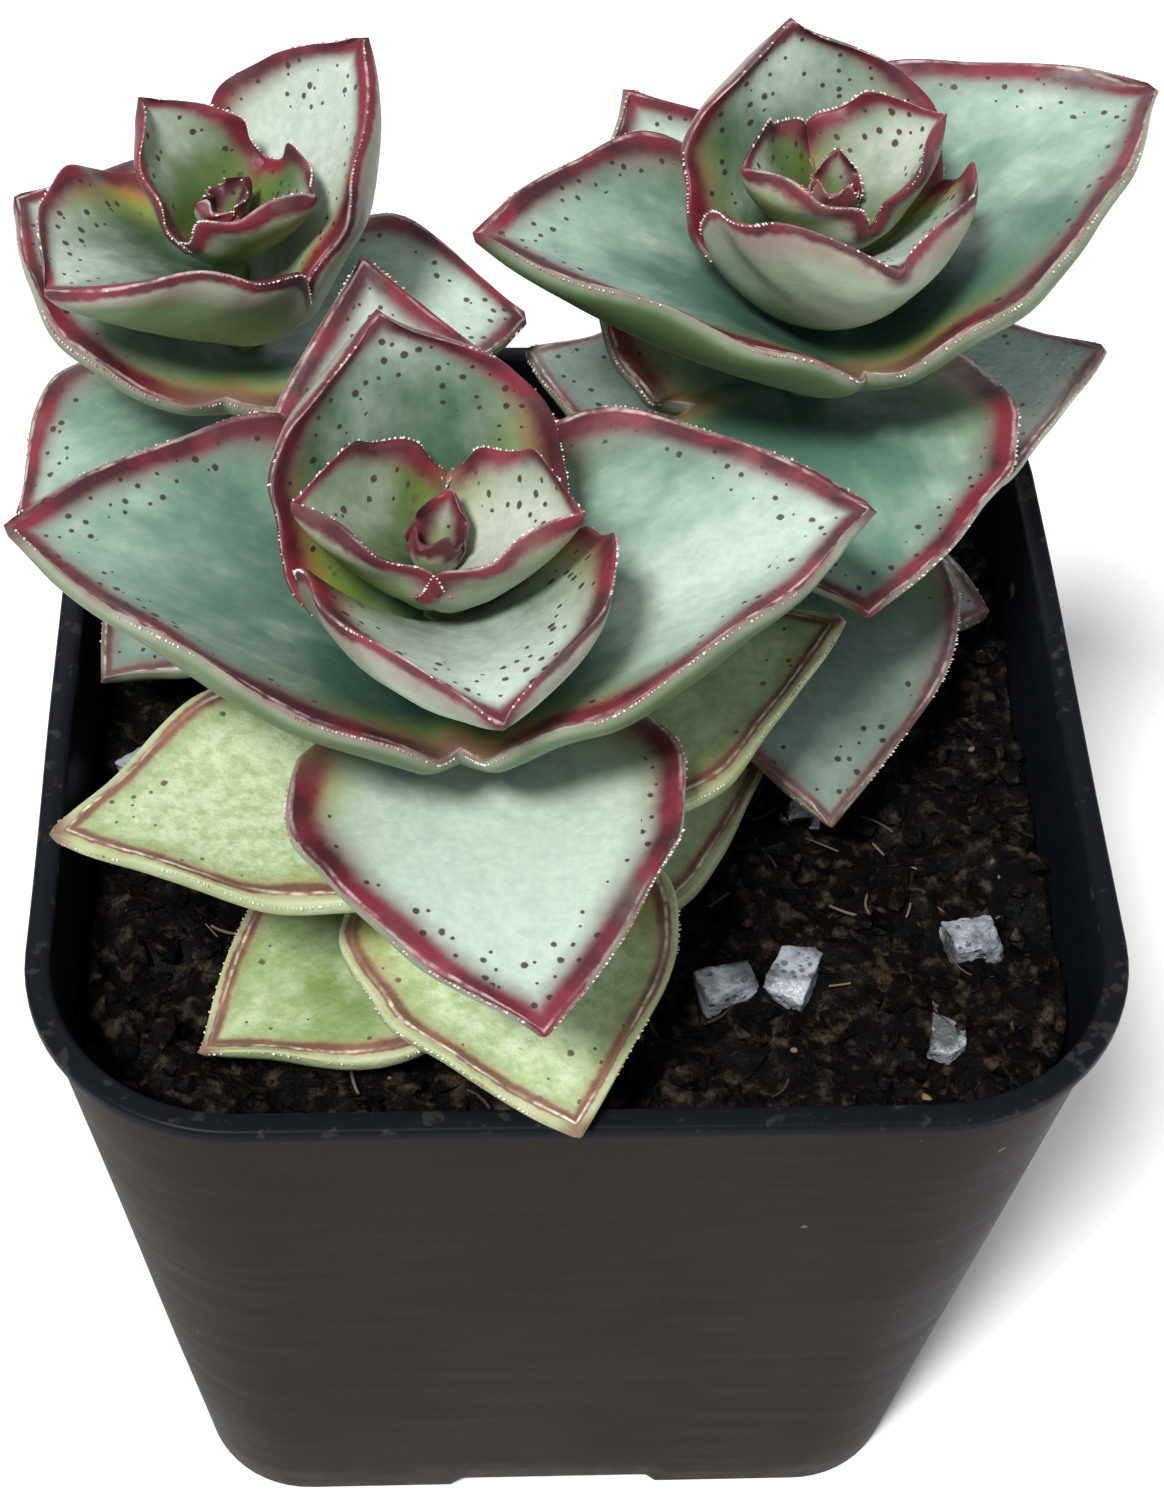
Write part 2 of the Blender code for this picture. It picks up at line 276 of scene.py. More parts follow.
def start_group(name: str, inputs: Sequence[str], output: str) -> tuple[Graph, Any, NodeSocket]:
    """Makes a shader node group with one output.

    Args:
        name: The group's name.
        inputs: Names of its inputs, all numbers but a Place, which is a vector.
        output: Name of its output, a number.

    Returns:
        The group's graph, its inputs by name and its output.
    """
    tree = bpy.data.node_groups.new(name, "ShaderNodeTree")
    for label in inputs:
        kind = "NodeSocketVector" if label == "Place" else "NodeSocketFloat"
        tree.interface.new_socket(label, in_out="INPUT", socket_type=kind)
    tree.interface.new_socket(output, in_out="OUTPUT", socket_type="NodeSocketFloat")
    start, end = tree.nodes.new("NodeGroupInput"), tree.nodes.new("NodeGroupOutput")
    return Graph(tree), start.outputs, end.inputs[0]


class SharedEffects:
    """Node groups that more than one finish uses, built once."""

    def __init__(self) -> None:
        """Builds the groups."""
        self.dots = self._dots("scattered_dots", "3D")
        self.skin_dots = self._dots("skin_dots", "2D")
        self.mottle = self._mottle()
        self.grain = self._grain()

    @staticmethod
    def _dots(name: str, dimensions: str) -> NodeTree:
        """Round dots of uneven size, one to a cell, and only in some of the cells."""
        graph, given, mask = start_group(name, ("Place", "Scale", "Radius", "Share"), "Mask")
        inputs = {"Vector": given["Place"], "Scale": given["Scale"], "Randomness": 0.95}
        cells = graph.add("TexVoronoi", inputs, voronoi_dimensions=dimensions)
        own = graph.add("SeparateColor", {0: cells.outputs["Color"]})
        size = graph.product(given["Radius"], graph.total(0.5, own.outputs[1]))
        reach = graph.total(cells.outputs["Distance"], graph.jitter(2600, 1, size))
        soft = graph.ramp(graph.math("DIVIDE", reach, size), 0.70, 1.15, 1, 0)
        kept = graph.math("LESS_THAN", own.outputs[0], given["Share"])
        graph.tree.links.new(graph.product(soft, kept), mask)
        return graph.tree

    @staticmethod
    def _mottle() -> NodeTree:
        """Cloudy patches with a set sharpness."""
        graph, given, mask = start_group("mottle", ("Scale", "Low", "High"), "Mask")
        cloud = graph.noise(given["Scale"], 4.0, rough=0.6)
        graph.tree.links.new(graph.ramp(cloud, given["Low"], given["High"]), mask)
        return graph.tree

    @staticmethod
    def _grain() -> NodeTree:
        """Height of a coarse and a fine grain together."""
        graph, given, height = start_group("grain", ("Coarse", "Fine", "Balance"), "Height")
        coarse, fine = graph.noise(given["Coarse"], 3.0), graph.noise(given["Fine"], 2.0)
        graph.tree.links.new(graph.blend(given["Balance"], coarse, fine), height)
        return graph.tree

    def spots(self, graph: Graph, scale: float, radius: float, share: float) -> NodeSocket:
        """Places scattered dots."""
        inputs = {"Place": graph.place(), "Scale": scale, "Radius": radius, "Share": share}
        return graph.group(self.dots, inputs)

    def clouds(self, graph: Graph, scale: float, low: float, high: float) -> NodeSocket:
        """Places cloudy patches."""
        return graph.group(self.mottle, {"Scale": scale, "Low": low, "High": high})

    def grained(self, graph: Graph, coarse: float, fine: float, balance: float) -> NodeSocket:
        """Places the grain."""
        return graph.group(self.grain, {"Coarse": coarse, "Fine": fine, "Balance": balance})


class Age(Enum):
    """How old a pair of leaves is, which sets its colours; SHADED is no age but darker colours for the low
    leaves, painted shade.
    """

    BUD = "bud"
    YOUNG = "young"
    GROWN = "grown"
    OLD = "old"
    SHADED = "shaded"


@dataclass(frozen=True)
class LeafFinish:
    """The skin of a leaf: a green blade under a pale bloom, a crimson margin and dark dots.

    Reaches and widths are in millimetres from the margin. The mesh stores them, and the share of the way
    along the leaf.
    """

    name: str
    # Darker green at the base: partly the leaf's own, partly painted shade of the hollow round the stem.
    deep_green_and_shade: Colour = (0.034, 0.086, 0.058)
    middle: Colour = (0.120, 0.238, 0.180)
    fade: float = 0.82
    bloom: Colour = (0.490, 0.600, 0.520)
    bloom_low: float = 0.70
    bloom_high: float = 1.16
    glow: Colour = (0.260, 0.330, 0.050)
    ember: Colour = (0.420, 0.120, 0.025)
    glow_strength: float = 0.75
    glow_end: float = 0.58
    glow_reach: float = 4.2
    ember_strength: float = 0.35
    ember_reach: float = 2.2
    wisp_stretch: Colour = (0.20, 0.55, 1.0)
    under: Colour = (0.070, 0.120, 0.042)
    under_bloom: Colour = (0.290, 0.340, 0.250)
    under_reach: float = 1.1
    line: Colour = (0.055, 0.008, 0.016)
    line_bright: Colour = (0.170, 0.015, 0.030)
    lip: float = 0.34
    line_up: float = 1.05
    line_down: float = 0.14
    line_strength: float = 0.96
    blush: Colour = (0.190, 0.080, 0.095)
    blush_up: float = 2.8
    blush_down: float = 0.8
    blush_strength: float = 0.72
    crust: Colour = (0.660, 0.560, 0.550)
    crust_share: float = 0.6
    dot: Colour = (0.040, 0.014, 0.020)
    dot_share: float = 0.70
    dot_reach: float = 0.9
    dot_scale: float = 1.15
    dot_radius: float = 0.15
    grit: float = 0.12
    roughness: float = 0.46
    relief: float = 0.00007
    shine: float = 0.36
    wander_scale: float = 190
    fray_scale: float = 1700
    cloud_scale: float = 130
    wisp_scale: float = 1.6
    tint_scale: float = 210
    powder_scale: float = 2100
    grit_scale: float = 1150
    patch_scale: float = 85

    def build(self, effects: SharedEffects) -> Material:
        """Builds the material.

        Args:
            effects: The shared node groups.

        Returns:
            The material.
        """
        material, graph, shader = start_material(self.name)
        along = graph.attribute("along")
        margin = graph.math("SUBTRACT", graph.attribute("margin"), self.lip)
        reach = graph.math("ABSOLUTE", margin)
        wander, fray = graph.jitter(self.wander_scale, 2, 0.8), graph.jitter(self.fray_scale, 2, 0.3)
        edge = graph.total(margin, graph.total(wander, fray))
        upper = graph.ramp(margin, -0.10, 0.10)
        skin = graph.mix(upper, self._back(graph, effects, reach), self._blade(graph, reach, along))
        skin = graph.mix(self._blush(graph, edge), skin, self.blush)
        tone = graph.mix(graph.patches(300, 3, 0.40, 0.64), self.line, self.line_bright)
        skin = graph.mix(self._line(graph, edge, along), skin, tone)
        skin = graph.mix(self._dots(graph, effects, margin, along), skin, self.dot)
        skin = graph.mix(self._crust(graph, margin), skin, self.crust)
        rough = graph.patches(420, 3, 0.35, 0.65, self.roughness - 0.07, self.roughness + 0.09)
        relief = graph.bump(effects.grained(graph, 420, 2600, 0.35), self.relief, 0.8)
        shine = {"Roughness": rough, "Specular IOR Level": self.shine}
        graph.feed(shader, {"Base Color": skin, "Normal": relief, **shine})
        return material

    def _blade(self, graph: Graph, reach: Any, along: Any) -> NodeSocket:
        """Colour of the upper face: greener and darker at the base, partly real and partly painted shade of
        the hollow round the stem, with a powdery bloom further out.
        """
        inputs = {"Vector": graph.attribute("flat", "Vector"), "Scale": self.wisp_stretch}
        wisps = graph.noise(self.wisp_scale, 3, graph.add("Mapping", inputs).outputs[0], 0.6)
        cloud = graph.noise(self.cloud_scale, 4, None, 0.55)
        cloud = graph.total(graph.product(cloud, 0.8), graph.product(wisps, 0.2))
        # Paleness here is partly real bloom and partly painted light and shade: lit leaves get a high
        # per-leaf value, self-shaded and shadowed ones a low one, and the pull towards the tip pales the tips
        # against the painted shade at the base.
        frosted_and_lit = graph.total(cloud, graph.product(graph.attribute("frost_and_painted_light"), 0.5), graph.product(along, 0.45))
        clouds = graph.ramp(frosted_and_lit, self.bloom_low, self.bloom_high)
        inward = graph.ramp(reach, 0.6, 2.6, 0.6, 1)
        powder = graph.patches(self.powder_scale, 3, 0.3, 0.7, 0.86, 1)
        # Darker towards the joint: partly deeper green, partly painted shade in the hollow round the stem.
        base = graph.mix(graph.ramp(along, 0.10, self.fade), self.deep_green_and_shade, self.middle)
        base = graph.mix(graph.patches(self.tint_scale, 3, 0.36, 0.66, 0, 0.35), base, self.deep_green_and_shade)
        base = graph.mix(graph.product(clouds, inward, powder), base, self.bloom)
        grit = graph.ramp(graph.noise(self.grit_scale, 4, None, 0.65), 0.38, 0.66)
        base = graph.mix(graph.product(grit, self.grit), base, self.middle)
        foot = graph.ramp(along, 0.16, self.glow_end, 1, 0)
        faint = self.glow_strength * 0.4
        patch = graph.patches(self.patch_scale, 1, 0.36, 0.58, faint, self.glow_strength)
        near = graph.product(graph.ramp(reach, 0.8, self.glow_reach, 1, 0), foot, patch)
        base = graph.mix(near, base, self.glow)
        close = graph.product(graph.ramp(reach, 0.8, self.ember_reach, self.ember_strength, 0), foot, patch)
        return graph.mix(close, base, self.ember)

    def _back(self, graph: Graph, effects: SharedEffects, reach: Any) -> NodeSocket:
        """Colour of the lower face: green, and whitish along its margin."""
        near = graph.ramp(reach, 0.4, self.under_reach, 0.92, 0.08)
        # The lower face pales with the same per-leaf value, partly painted light.
        frosted_and_lit = graph.ramp(graph.attribute("frost_and_painted_light"), 0.35, 0.80, 0, 0.85)
        patches = graph.total(graph.product(effects.clouds(graph, 240, 0.36, 0.68), 0.4), 0.6)
        share = graph.product(graph.math("MAXIMUM", near, frosted_and_lit), patches)
        return graph.mix(share, self.under, self.under_bloom)

    def _blush(self, graph: Graph, edge: Any) -> NodeSocket:
        """Mask of the faint pink that spreads from the margin's line."""
        above = graph.ramp(edge, self.line_up * 0.6, self.blush_up, 1, 0)
        below = graph.ramp(edge, -self.blush_down, -self.line_down * 0.6)
        return graph.product(above, below, graph.patches(260, 3, 0.32, 0.62, 0.45, 1), self.blush_strength)

    def _line(self, graph: Graph, edge: Any, along: Any) -> NodeSocket:
        """Mask of the dark line round the margin, which fades to the joint and widens into the tip."""
        above = graph.ramp(edge, self.line_up * 0.60, self.line_up * 1.50, 1, 0)
        below = graph.ramp(edge, -self.line_down * 1.35, -self.line_down * 0.72)
        broken = graph.patches(240, 2, 0.25, 0.42, 0.75, 1)
        line = graph.product(above, below, broken, graph.ramp(along, 0.02, 0.26, 0.04, 1))
        tip = graph.ramp(along, 0.93, 0.985, 0, 0.9)
        return graph.product(graph.math("MAXIMUM", line, tip), self.line_strength)

    def _crust(self, graph: Graph, margin: Any) -> NodeSocket:
        """Mask of the broken whitish thread right on the margin."""
        off = graph.math("ABSOLUTE", graph.total(margin, graph.jitter(900, 2, 0.16)))
        bits = graph.patches(1500, 3, 0.34, 0.62, 0.12, 1)
        where = graph.patches(210, 2, 0.38, 0.62, 0.10, 1)
        return graph.product(graph.ramp(off, 0.03, 0.15, 1, 0), bits, where, self.crust_share)

    def _dots(self, graph: Graph, effects: SharedEffects, margin: Any, along: Any) -> NodeSocket:
        """Mask of the dark dots, which follow the margin and gather at the tip."""
        inputs = {"Place": graph.attribute("flat", "Vector"), "Scale": self.dot_scale}
        dots = graph.group(effects.skin_dots, {**inputs, "Radius": self.dot_radius, "Share": self.dot_share})
        start = self.line_up * 0.75
        wide = start + self.dot_reach
        inner = graph.ramp(margin, start, start + 0.25)
        spread = graph.total(graph.blend(graph.ramp(along, 0.45, 0.88), wide, wide + 2.4), 0.8)
        outer = graph.math("LESS_THAN", graph.total(margin, graph.product(graph.noise(330, 1), 1.6)), spread)
        away = graph.ramp(along, 0.16, 0.36, 0, 0.9)
        return graph.product(graph.product(dots, inner), graph.product(outer, away))


LEAF_FINISHES = {
    Age.BUD: LeafFinish(
        "leaf_bud", deep_green_and_shade=(0.040, 0.085, 0.022), middle=(0.100, 0.165, 0.065), bloom=(0.500, 0.550, 0.480),
        bloom_high=1.15, glow_strength=0.3, ember_strength=0.1, under=(0.150, 0.210, 0.065),
        under_bloom=(0.480, 0.540, 0.430), under_reach=1.6, lip=0.0, line_up=0.72, line_down=0.62,
        blush_up=1.4, blush_down=1.4, dot_reach=1.8,
    ),
    # The young pairs' darker greens are partly painted shade of their cupped, self-shaded faces.
    Age.YOUNG: LeafFinish(
        "leaf_young", deep_green_and_shade=(0.022, 0.060, 0.026), middle=(0.070, 0.150, 0.090), fade=0.95,
        bloom=(0.500, 0.580, 0.520), bloom_high=1.18, glow_strength=0.95, glow_end=0.85, ember_strength=0.85,
        under=(0.100, 0.165, 0.060), under_bloom=(0.450, 0.530, 0.430), under_reach=1.6, lip=0.05,
        line_up=0.95, line_down=0.50, blush_up=2.2, blush_down=2.2, dot_reach=2.2,
    ),
    Age.GROWN: LeafFinish("leaf_grown"),
    Age.OLD: LeafFinish(
        "leaf_old", deep_green_and_shade=(0.070, 0.135, 0.030), middle=(0.205, 0.300, 0.095), bloom=(0.520, 0.610, 0.400),
        bloom_low=0.76, bloom_high=1.02, glow=(0.300, 0.360, 0.040), glow_strength=0.9, ember_strength=0.5,
        under=(0.180, 0.240, 0.070), under_bloom=(0.430, 0.490, 0.300), under_reach=2.8,
        line=(0.110, 0.026, 0.028), line_bright=(0.220, 0.070, 0.055), lip=0.75, line_up=0.46, line_down=0.22,
        line_strength=0.85, blush=(0.300, 0.180, 0.095), blush_up=1.3, blush_down=0.7, blush_strength=0.5,
        crust=(0.640, 0.630, 0.500), crust_share=1.0, dot=(0.100, 0.070, 0.035), dot_share=0.3, grit=0.55,
        roughness=0.54, relief=0.00026,
    ),
    # Darker colours for the low leaves under the ones above: painted shade.
    Age.SHADED: LeafFinish(
        "leaf_shaded", deep_green_and_shade=(0.050, 0.090, 0.062), middle=(0.110, 0.180, 0.145), bloom=(0.270, 0.350, 0.310),
        glow_strength=0.3, ember_strength=0.1, under=(0.105, 0.150, 0.070), under_bloom=(0.280, 0.330, 0.260),
        line=(0.060, 0.014, 0.020), line_bright=(0.130, 0.032, 0.038), lip=0.35, line_up=0.50, line_down=0.15,
        line_strength=0.8, blush_up=1.6, blush_strength=0.5, dot_share=0.45, grit=0.3, roughness=0.36,
        relief=0.00014,
    ),
}


@dataclass(frozen=True)
class FringeFinish:
    """The pale glassy papillae along a leaf's margin."""

    pale: Colour = (0.780, 0.700, 0.680)
    pink: Colour = (0.420, 0.120, 0.140)

    def build(self) -> Material:
        """Builds the material."""
        material, graph, shader = start_material("leaf_fringe")
        colour = graph.mix(graph.patches(500, 2, 0.42, 0.68), self.pale, self.pink)
        graph.feed(shader, {"Base Color": colour, "Roughness": 0.35})
        return material


@dataclass(frozen=True)
class BarkFinish:
    """A stem's skin: green under the leaves and corky lower down."""

    cork: Colour = (0.170, 0.115, 0.060)
    green: Colour = (0.200, 0.260, 0.100)
    crack: Colour = (0.05, 0.035, 0.02)
    fade_low: float = 0.050
    fade_high: float = 0.066

    def build(self, effects: SharedEffects) -> Material:
        """Builds the material from the shared node groups."""
        material, graph, shader = start_material("stem_bark")
        height = graph.add("SeparateXYZ", {0: graph.place()}).outputs[2]
        base = graph.mix(graph.ramp(height, self.fade_low, self.fade_high), self.cork, self.green)
        base = graph.mix(graph.product(effects.clouds(graph, 900, 0.4, 0.65), 0.6), base, self.crack)
        relief = graph.bump(effects.grained(graph, 900, 3000, 0.4), 0.0002, 1)
        graph.feed(shader, {"Base Color": base, "Roughness": 0.8, "Normal": relief})
        return material


@dataclass(frozen=True)
class PlasticFinish:
    """Thin charcoal plastic: satin walls with faint level streaks, and a blacker, glossier lip whose colour
    also covers the inside walls as painted shade; the pale marks on the lip's top edge are partly wear and
    partly a painted glint.
    """

    wall: Colour = (0.0135, 0.0088, 0.0062)
    wall_dark: Colour = (0.0095, 0.0062, 0.0044)
    lip: Colour = (0.006, 0.008, 0.011)
    # Pale dust, also the colour of the painted glint along the lip.
    dust_and_glint: Colour = (0.140, 0.125, 0.105)
    lip_low: float = 0.0500
    lip_high: float = 0.0508
    wear_glint_low: float = 0.0514
    wear_glint_high: float = 0.0518
    dust_height: float = 0.006

    def build(self, effects: SharedEffects) -> Material:
        """Builds the material from the shared node groups."""
        material, graph, shader = start_material("pot_plastic")
        place = graph.place()
        height = graph.add("SeparateXYZ", {0: place}).outputs[2]
        stretched = graph.add("Mapping", {"Vector": place, "Scale": (0.12, 0.12, 1.0)}).outputs[0]
        streaks = graph.noise(900, 4, stretched, 0.6)
        clouds = effects.clouds(graph, 60, 0.35, 0.68)
        tone = graph.total(graph.product(graph.ramp(streaks, 0.35, 0.7), 0.55), graph.product(clouds, 0.45))
        colour = graph.mix(tone, self.wall_dark, self.wall)
        # The inside walls take the blacker lip colour: painted shade.
        lip = graph.math("MAXIMUM", graph.ramp(height, self.lip_low, self.lip_high), graph.attribute("inner"))
        colour = graph.mix(lip, colour, self.lip)
        specks, scuffs = effects.spots(graph, 420, 0.07, 0.10), effects.spots(graph, 150, 0.06, 0.08)
        # Pale marks along the lip's top edge: partly wear, partly a painted glint.
        wear_and_glint = graph.ramp(height, self.wear_glint_low, self.wear_glint_high)
        wear_and_glint = graph.product(wear_and_glint, graph.patches(950, 4, 0.58, 0.66), 0.12)
        marks = graph.math("MAXIMUM", graph.product(graph.math("MAXIMUM", specks, scuffs), 0.7), wear_and_glint)
        colour = graph.mix(marks, colour, self.dust_and_glint)
        smudge = graph.ramp(height, 0, self.dust_height, 0.16, 0)
        smudge = graph.product(smudge, graph.patches(500, 4, 0.4, 0.7))
        colour = graph.mix(smudge, colour, self.dust_and_glint)
        rough = graph.ramp(graph.total(streaks, graph.product(clouds, 0.3)), 0.3, 0.95, 0.44, 0.54)
        rough = graph.math("SUBTRACT", rough, graph.product(lip, 0.12))
        dents = graph.product(effects.spots(graph, 95, 0.12, 0.16), -0.8)
        relief = graph.total(graph.product(streaks, 0.3), dents, graph.product(marks, 1.2))
        shine = {"Roughness": rough, "Specular IOR Level": 0.05}
        graph.feed(shader, {"Base Color": colour, "Normal": graph.bump(relief, 0.00012, 0.6), **shine})
        return material


@dataclass(frozen=True)
class PeatFinish:
    """Dark moist peat with paler fibres and specks; its near-black is partly painted shade from the pot's
    walls and the leaves.
    """

    # Near-black: partly the wet peat's own colour, partly painted shade.
    dark: Colour = (0.0022, 0.0017, 0.0013)
    brown: Colour = (0.052, 0.036, 0.025)
    fleck: Colour = (0.230, 0.160, 0.095)
    fleck_share: float = 0.07

    def build(self, effects: SharedEffects) -> Material:
        """Builds the material from the shared node groups."""
        material, graph, shader = start_material("peat")
        colour = graph.mix(effects.clouds(graph, 900, 0.50, 0.76), self.dark, self.brown)
        flecks = graph.product(effects.spots(graph, 900, 0.22, self.fleck_share), 0.8)
        colour = graph.mix(flecks, colour, self.fleck)
        relief = graph.bump(effects.grained(graph, 900, 3200, 0.45), 0.0004, 1)
        shine = {"Roughness": graph.patches(700, 2, 0.4, 0.65, 0.6, 0.95), "Specular IOR Level": 0.07}
        graph.feed(shader, {"Base Color": colour, "Normal": relief, **shine})
        return material


@dataclass(frozen=True)
class FibreFinish:
    """Pale and brown bits of root and moss on the peat."""

    pale: Colour = (0.130, 0.092, 0.056)
    brown: Colour = (0.026, 0.016, 0.010)

    def build(self) -> Material:
        """Builds the material."""
        material, graph, shader = start_material("peat_fibre")
        colour = graph.mix(graph.patches(160, 1, 0.4, 0.6), self.brown, self.pale)
        graph.feed(shader, {"Base Color": colour, "Roughness": 0.8})
        return material


@dataclass(frozen=True)
class PerliteFinish:
    """Crumbly white volcanic glass, pitted and stained grey."""

    white: Colour = (0.330, 0.360, 0.410)
    grey: Colour = (0.070, 0.078, 0.086)
    pit: Colour = (0.05, 0.045, 0.04)
    glow: Colour = (0.8, 0.9, 1.0)

    def build(self, effects: SharedEffects) -> Material:
        """Builds the material from the shared node groups."""
        material, graph, shader = start_material("perlite_grain")
        colour = graph.mix(effects.clouds(graph, 380, 0.40, 0.62), self.white, self.grey)
        pits = effects.spots(graph, 2200, 0.3, 0.5)
        colour = graph.mix(graph.product(pits, 0.7), colour, self.pit)
        height = graph.math("SUBTRACT", effects.grained(graph, 1500, 4200, 0.5), graph.product(pits, 0.6))
        shine = {"Roughness": graph.patches(1300, 2, 0.4, 0.7, 0.30, 0.7), "Subsurface Weight": 0.4}
        depth = {"Subsurface Radius": self.glow, "Subsurface Scale": 0.0008}
        graph.feed(shader, {"Base Color": colour, "Normal": graph.bump(height, 0.0002, 1), **shine, **depth})
        return material


@dataclass(frozen=True)
class Leaf:
    """One leaf: its direction, size and bend, in degrees and metres, and how pale its upper face is, real
    bloom and painted light and shade together.
    """

    azimuth: float
    length: float
    half_width: float
    base_rise: float
    tip_rise: float
    cup: float
    # Paleness of the upper face: real bloom, with each leaf's painted light and shade folded in.
    frost_and_painted_light: float = 0.4


@dataclass(frozen=True)
class Pair:
    """Two leaves grown together round the stem at one height."""

    height: float
    roll: float
    thickness: float
    roundness: float
    age: Age
    first: Leaf
    second: Leaf


@dataclass
class LeafPairModel:
    """Shapes one pair of leaves from a sphere whose poles become the two tips."""

    pair: Pair
    middle: Vector
    seed: int
    around: int = 56
    along: int = 132
    outline: Profile = ((0, 0.70), (0.14, 0.91), (0.30, 1), (0.50, 0.91), (0.70, 0.62), (0.87, 0.28), (1, 0))
    round_outline: Profile = (
        (0, 0.74), (0.15, 0.93), (0.35, 1), (0.55, 0.98), (0.75, 0.81), (0.87, 0.47), (0.94, 0.18), (1, 0),
    )
    depth: Profile = ((0, 0.90), (0.30, 1), (0.70, 0.75), (0.90, 0.45), (1, 0.12))
    collar: float = 0.12
    merge: float = 0.30
    upper_share: float = 0.22
    edge_bluntness: float = 0.62
    wave: float = 0.00034
    wave_pace: float = 15
    wave_slant: float = 2.3
    raggedness: float = 0.045
    notch_pace: float = 5.5
    relief: float = 0.00020
    relief_scale: float = 190
    fine_relief: float = 0.25
    fine_scale: float = 560
    midrib_steps: int = 24
    fringe_step: float = 0.00022
    fringe_radius: float = 0.000055
    fringe_patch_scale: float = 260
    fringe_bare: float = 0.12

    def __post_init__(self) -> None:
        """Works out the pair's shared bend and the midribs of its two leaves."""
        first, second = self.pair.first, self.pair.second
        self.middle_width = (first.half_width + second.half_width) / 2
        self.middle_cup = (first.cup + second.cup) / 2
        self.bend = (second.azimuth - 180 - first.azimuth + 180) % 360 - 180
        self.axis = first.azimuth + self.bend / 2

    def midrib(self, leaf: Leaf, share: float) -> tuple[float, float, float]:
        """Follows a leaf's midrib outwards.

        Args:
            leaf: The leaf.
            share: How far along it, from 0 to 1.

        Returns:
            Distance out, height and rise in radians there.
        """
        out = up = 0.0

        def rise(at: float) -> float:
            """Rise of the midrib, in radians, which starts level in the collar."""
            angle = leaf.base_rise + (leaf.tip_rise - leaf.base_rise) * at
            return math.radians(angle * min(1, at / self.collar))

        piece = share / self.midrib_steps
        for step in range(self.midrib_steps):
            angle = rise((step + 0.5) * piece)
            out += math.cos(angle) * piece * leaf.length
            up += math.sin(angle) * piece * leaf.length
        return out, up, rise(share)

    def place(
        self, share: float, side: float, sideways: float, upright: float
    ) -> tuple[Vector, Vector, Vector]:
        """Places one point of the skin.

        Args:
            share: How far along its leaf, from 0 to 1.
            side: 1 on the first leaf and -1 on the second.
            sideways: Across the blade, from -1 to 1.
            upright: Through the blade, from -1 below to 1 above.

        Returns:
            The point, the blade's normal there, and the place on the blade in millimetres: along the
            leaf, across it, and from the margin, which is negative below.
        """
        leaf = self.pair.first if side > 0 else self.pair.second
        out, up, rise = self.midrib(leaf, share)
        ease = smooth_step(share / self.merge)
        azimuth = math.radians(leaf.azimuth)
        side_azimuth = math.radians(self.axis - side * self.bend / 2 * ease)
        radial = Vector((math.cos(azimuth), math.sin(azimuth), 0))
        across = Vector((-math.sin(side_azimuth), math.cos(side_azimuth), 0))
        normal = Vector((0, 0, 1)) * math.cos(rise) - radial * math.sin(rise)
        roll = math.radians(self.pair.roll) * ease
        width = self.middle_width + (leaf.half_width - self.middle_width) * ease
        pointed, rounded = read_profile(self.outline, share), read_profile(self.round_outline, share)
        width *= pointed + (rounded - pointed) * self.pair.roundness
        notch = Vector((share * self.notch_pace, math.copysign(3, sideways) + side, self.seed * 1.7))
        width *= 1 + self.raggedness * noise.noise(notch) * ease
        cup = self.middle_cup + (leaf.cup - self.middle_cup) * ease
        depth = self.pair.thickness * read_profile(self.depth, share)
        body = abs(upright) ** self.edge_bluntness
        lift = cup * width * sideways**2
        swell = depth * body * (self.upper_share if upright > 0 else self.upper_share - 1)
        lift += swell
        phase = self.wave_pace * share + self.wave_slant * sideways + self.seed
        lift += self.wave * math.sin(phase) * sideways**4 * ease
        y = sideways * width
        spot = across * (y * math.cos(roll) - lift * math.sin(roll))
        spot += normal * (y * math.sin(roll) + lift * math.cos(roll))
        point = self.middle + radial * out + Vector((0, 0, up)) + spot
        margin = math.copysign(math.hypot(width * (1 - abs(sideways)), swell), upright)
        return point, normal, Vector((share * leaf.length * side, sideways * width, margin)) * 1000

    def frost_and_painted_light(self, share: float, side: float) -> float:
        """How pale the upper face is at one place, real bloom with painted light and shade, eased across the
        collar.
        """
        first, second = self.pair.first.frost_and_painted_light, self.pair.second.frost_and_painted_light
        middle = (first + second) / 2
        return middle + ((first if side > 0 else second) - middle) * smooth_step(share / self.merge)

    def blades(self, bm: BMesh) -> None:
        """Adds both blades as one closed skin, with its distances stored on the points."""
        turn = Matrix.Rotation(math.radians(90), 4, "Y")
        bmesh.ops.create_uvsphere(bm, u_segments=self.around, v_segments=self.along, radius=1, matrix=turn)
        layers = {name: bm.verts.layers.float.new(name) for name in ("margin", "along", "frost_and_painted_light")}
        flat = bm.verts.layers.float_vector.new("flat")
        for vert in bm.verts:
            reach = math.asin(max(-1, min(1, vert.co.x))) / math.radians(90)
            ring = math.hypot(vert.co.y, vert.co.z) or 1
            sideways, upright = vert.co.y / ring, vert.co.z / ring
            side = 1 if reach >= 0 else -1
            point, normal, spot = self.place(abs(reach), side, sideways, upright)
            swell = noise.noise(point * self.relief_scale) * self.relief
            swell += noise.noise(point * self.fine_scale) * self.relief * self.fine_relief
            vert.co = point + normal * swell * smooth_step(abs(upright) * 2)
            vert[layers["margin"]] = spot.z
            vert[layers["along"]] = abs(reach)
            vert[layers["frost_and_painted_light"]] = self.frost_and_painted_light(abs(reach), side)
            vert[flat] = (spot.x + 37 * self.seed, spot.y, 0)
        bmesh.ops.recalc_face_normals(bm, faces=bm.faces)

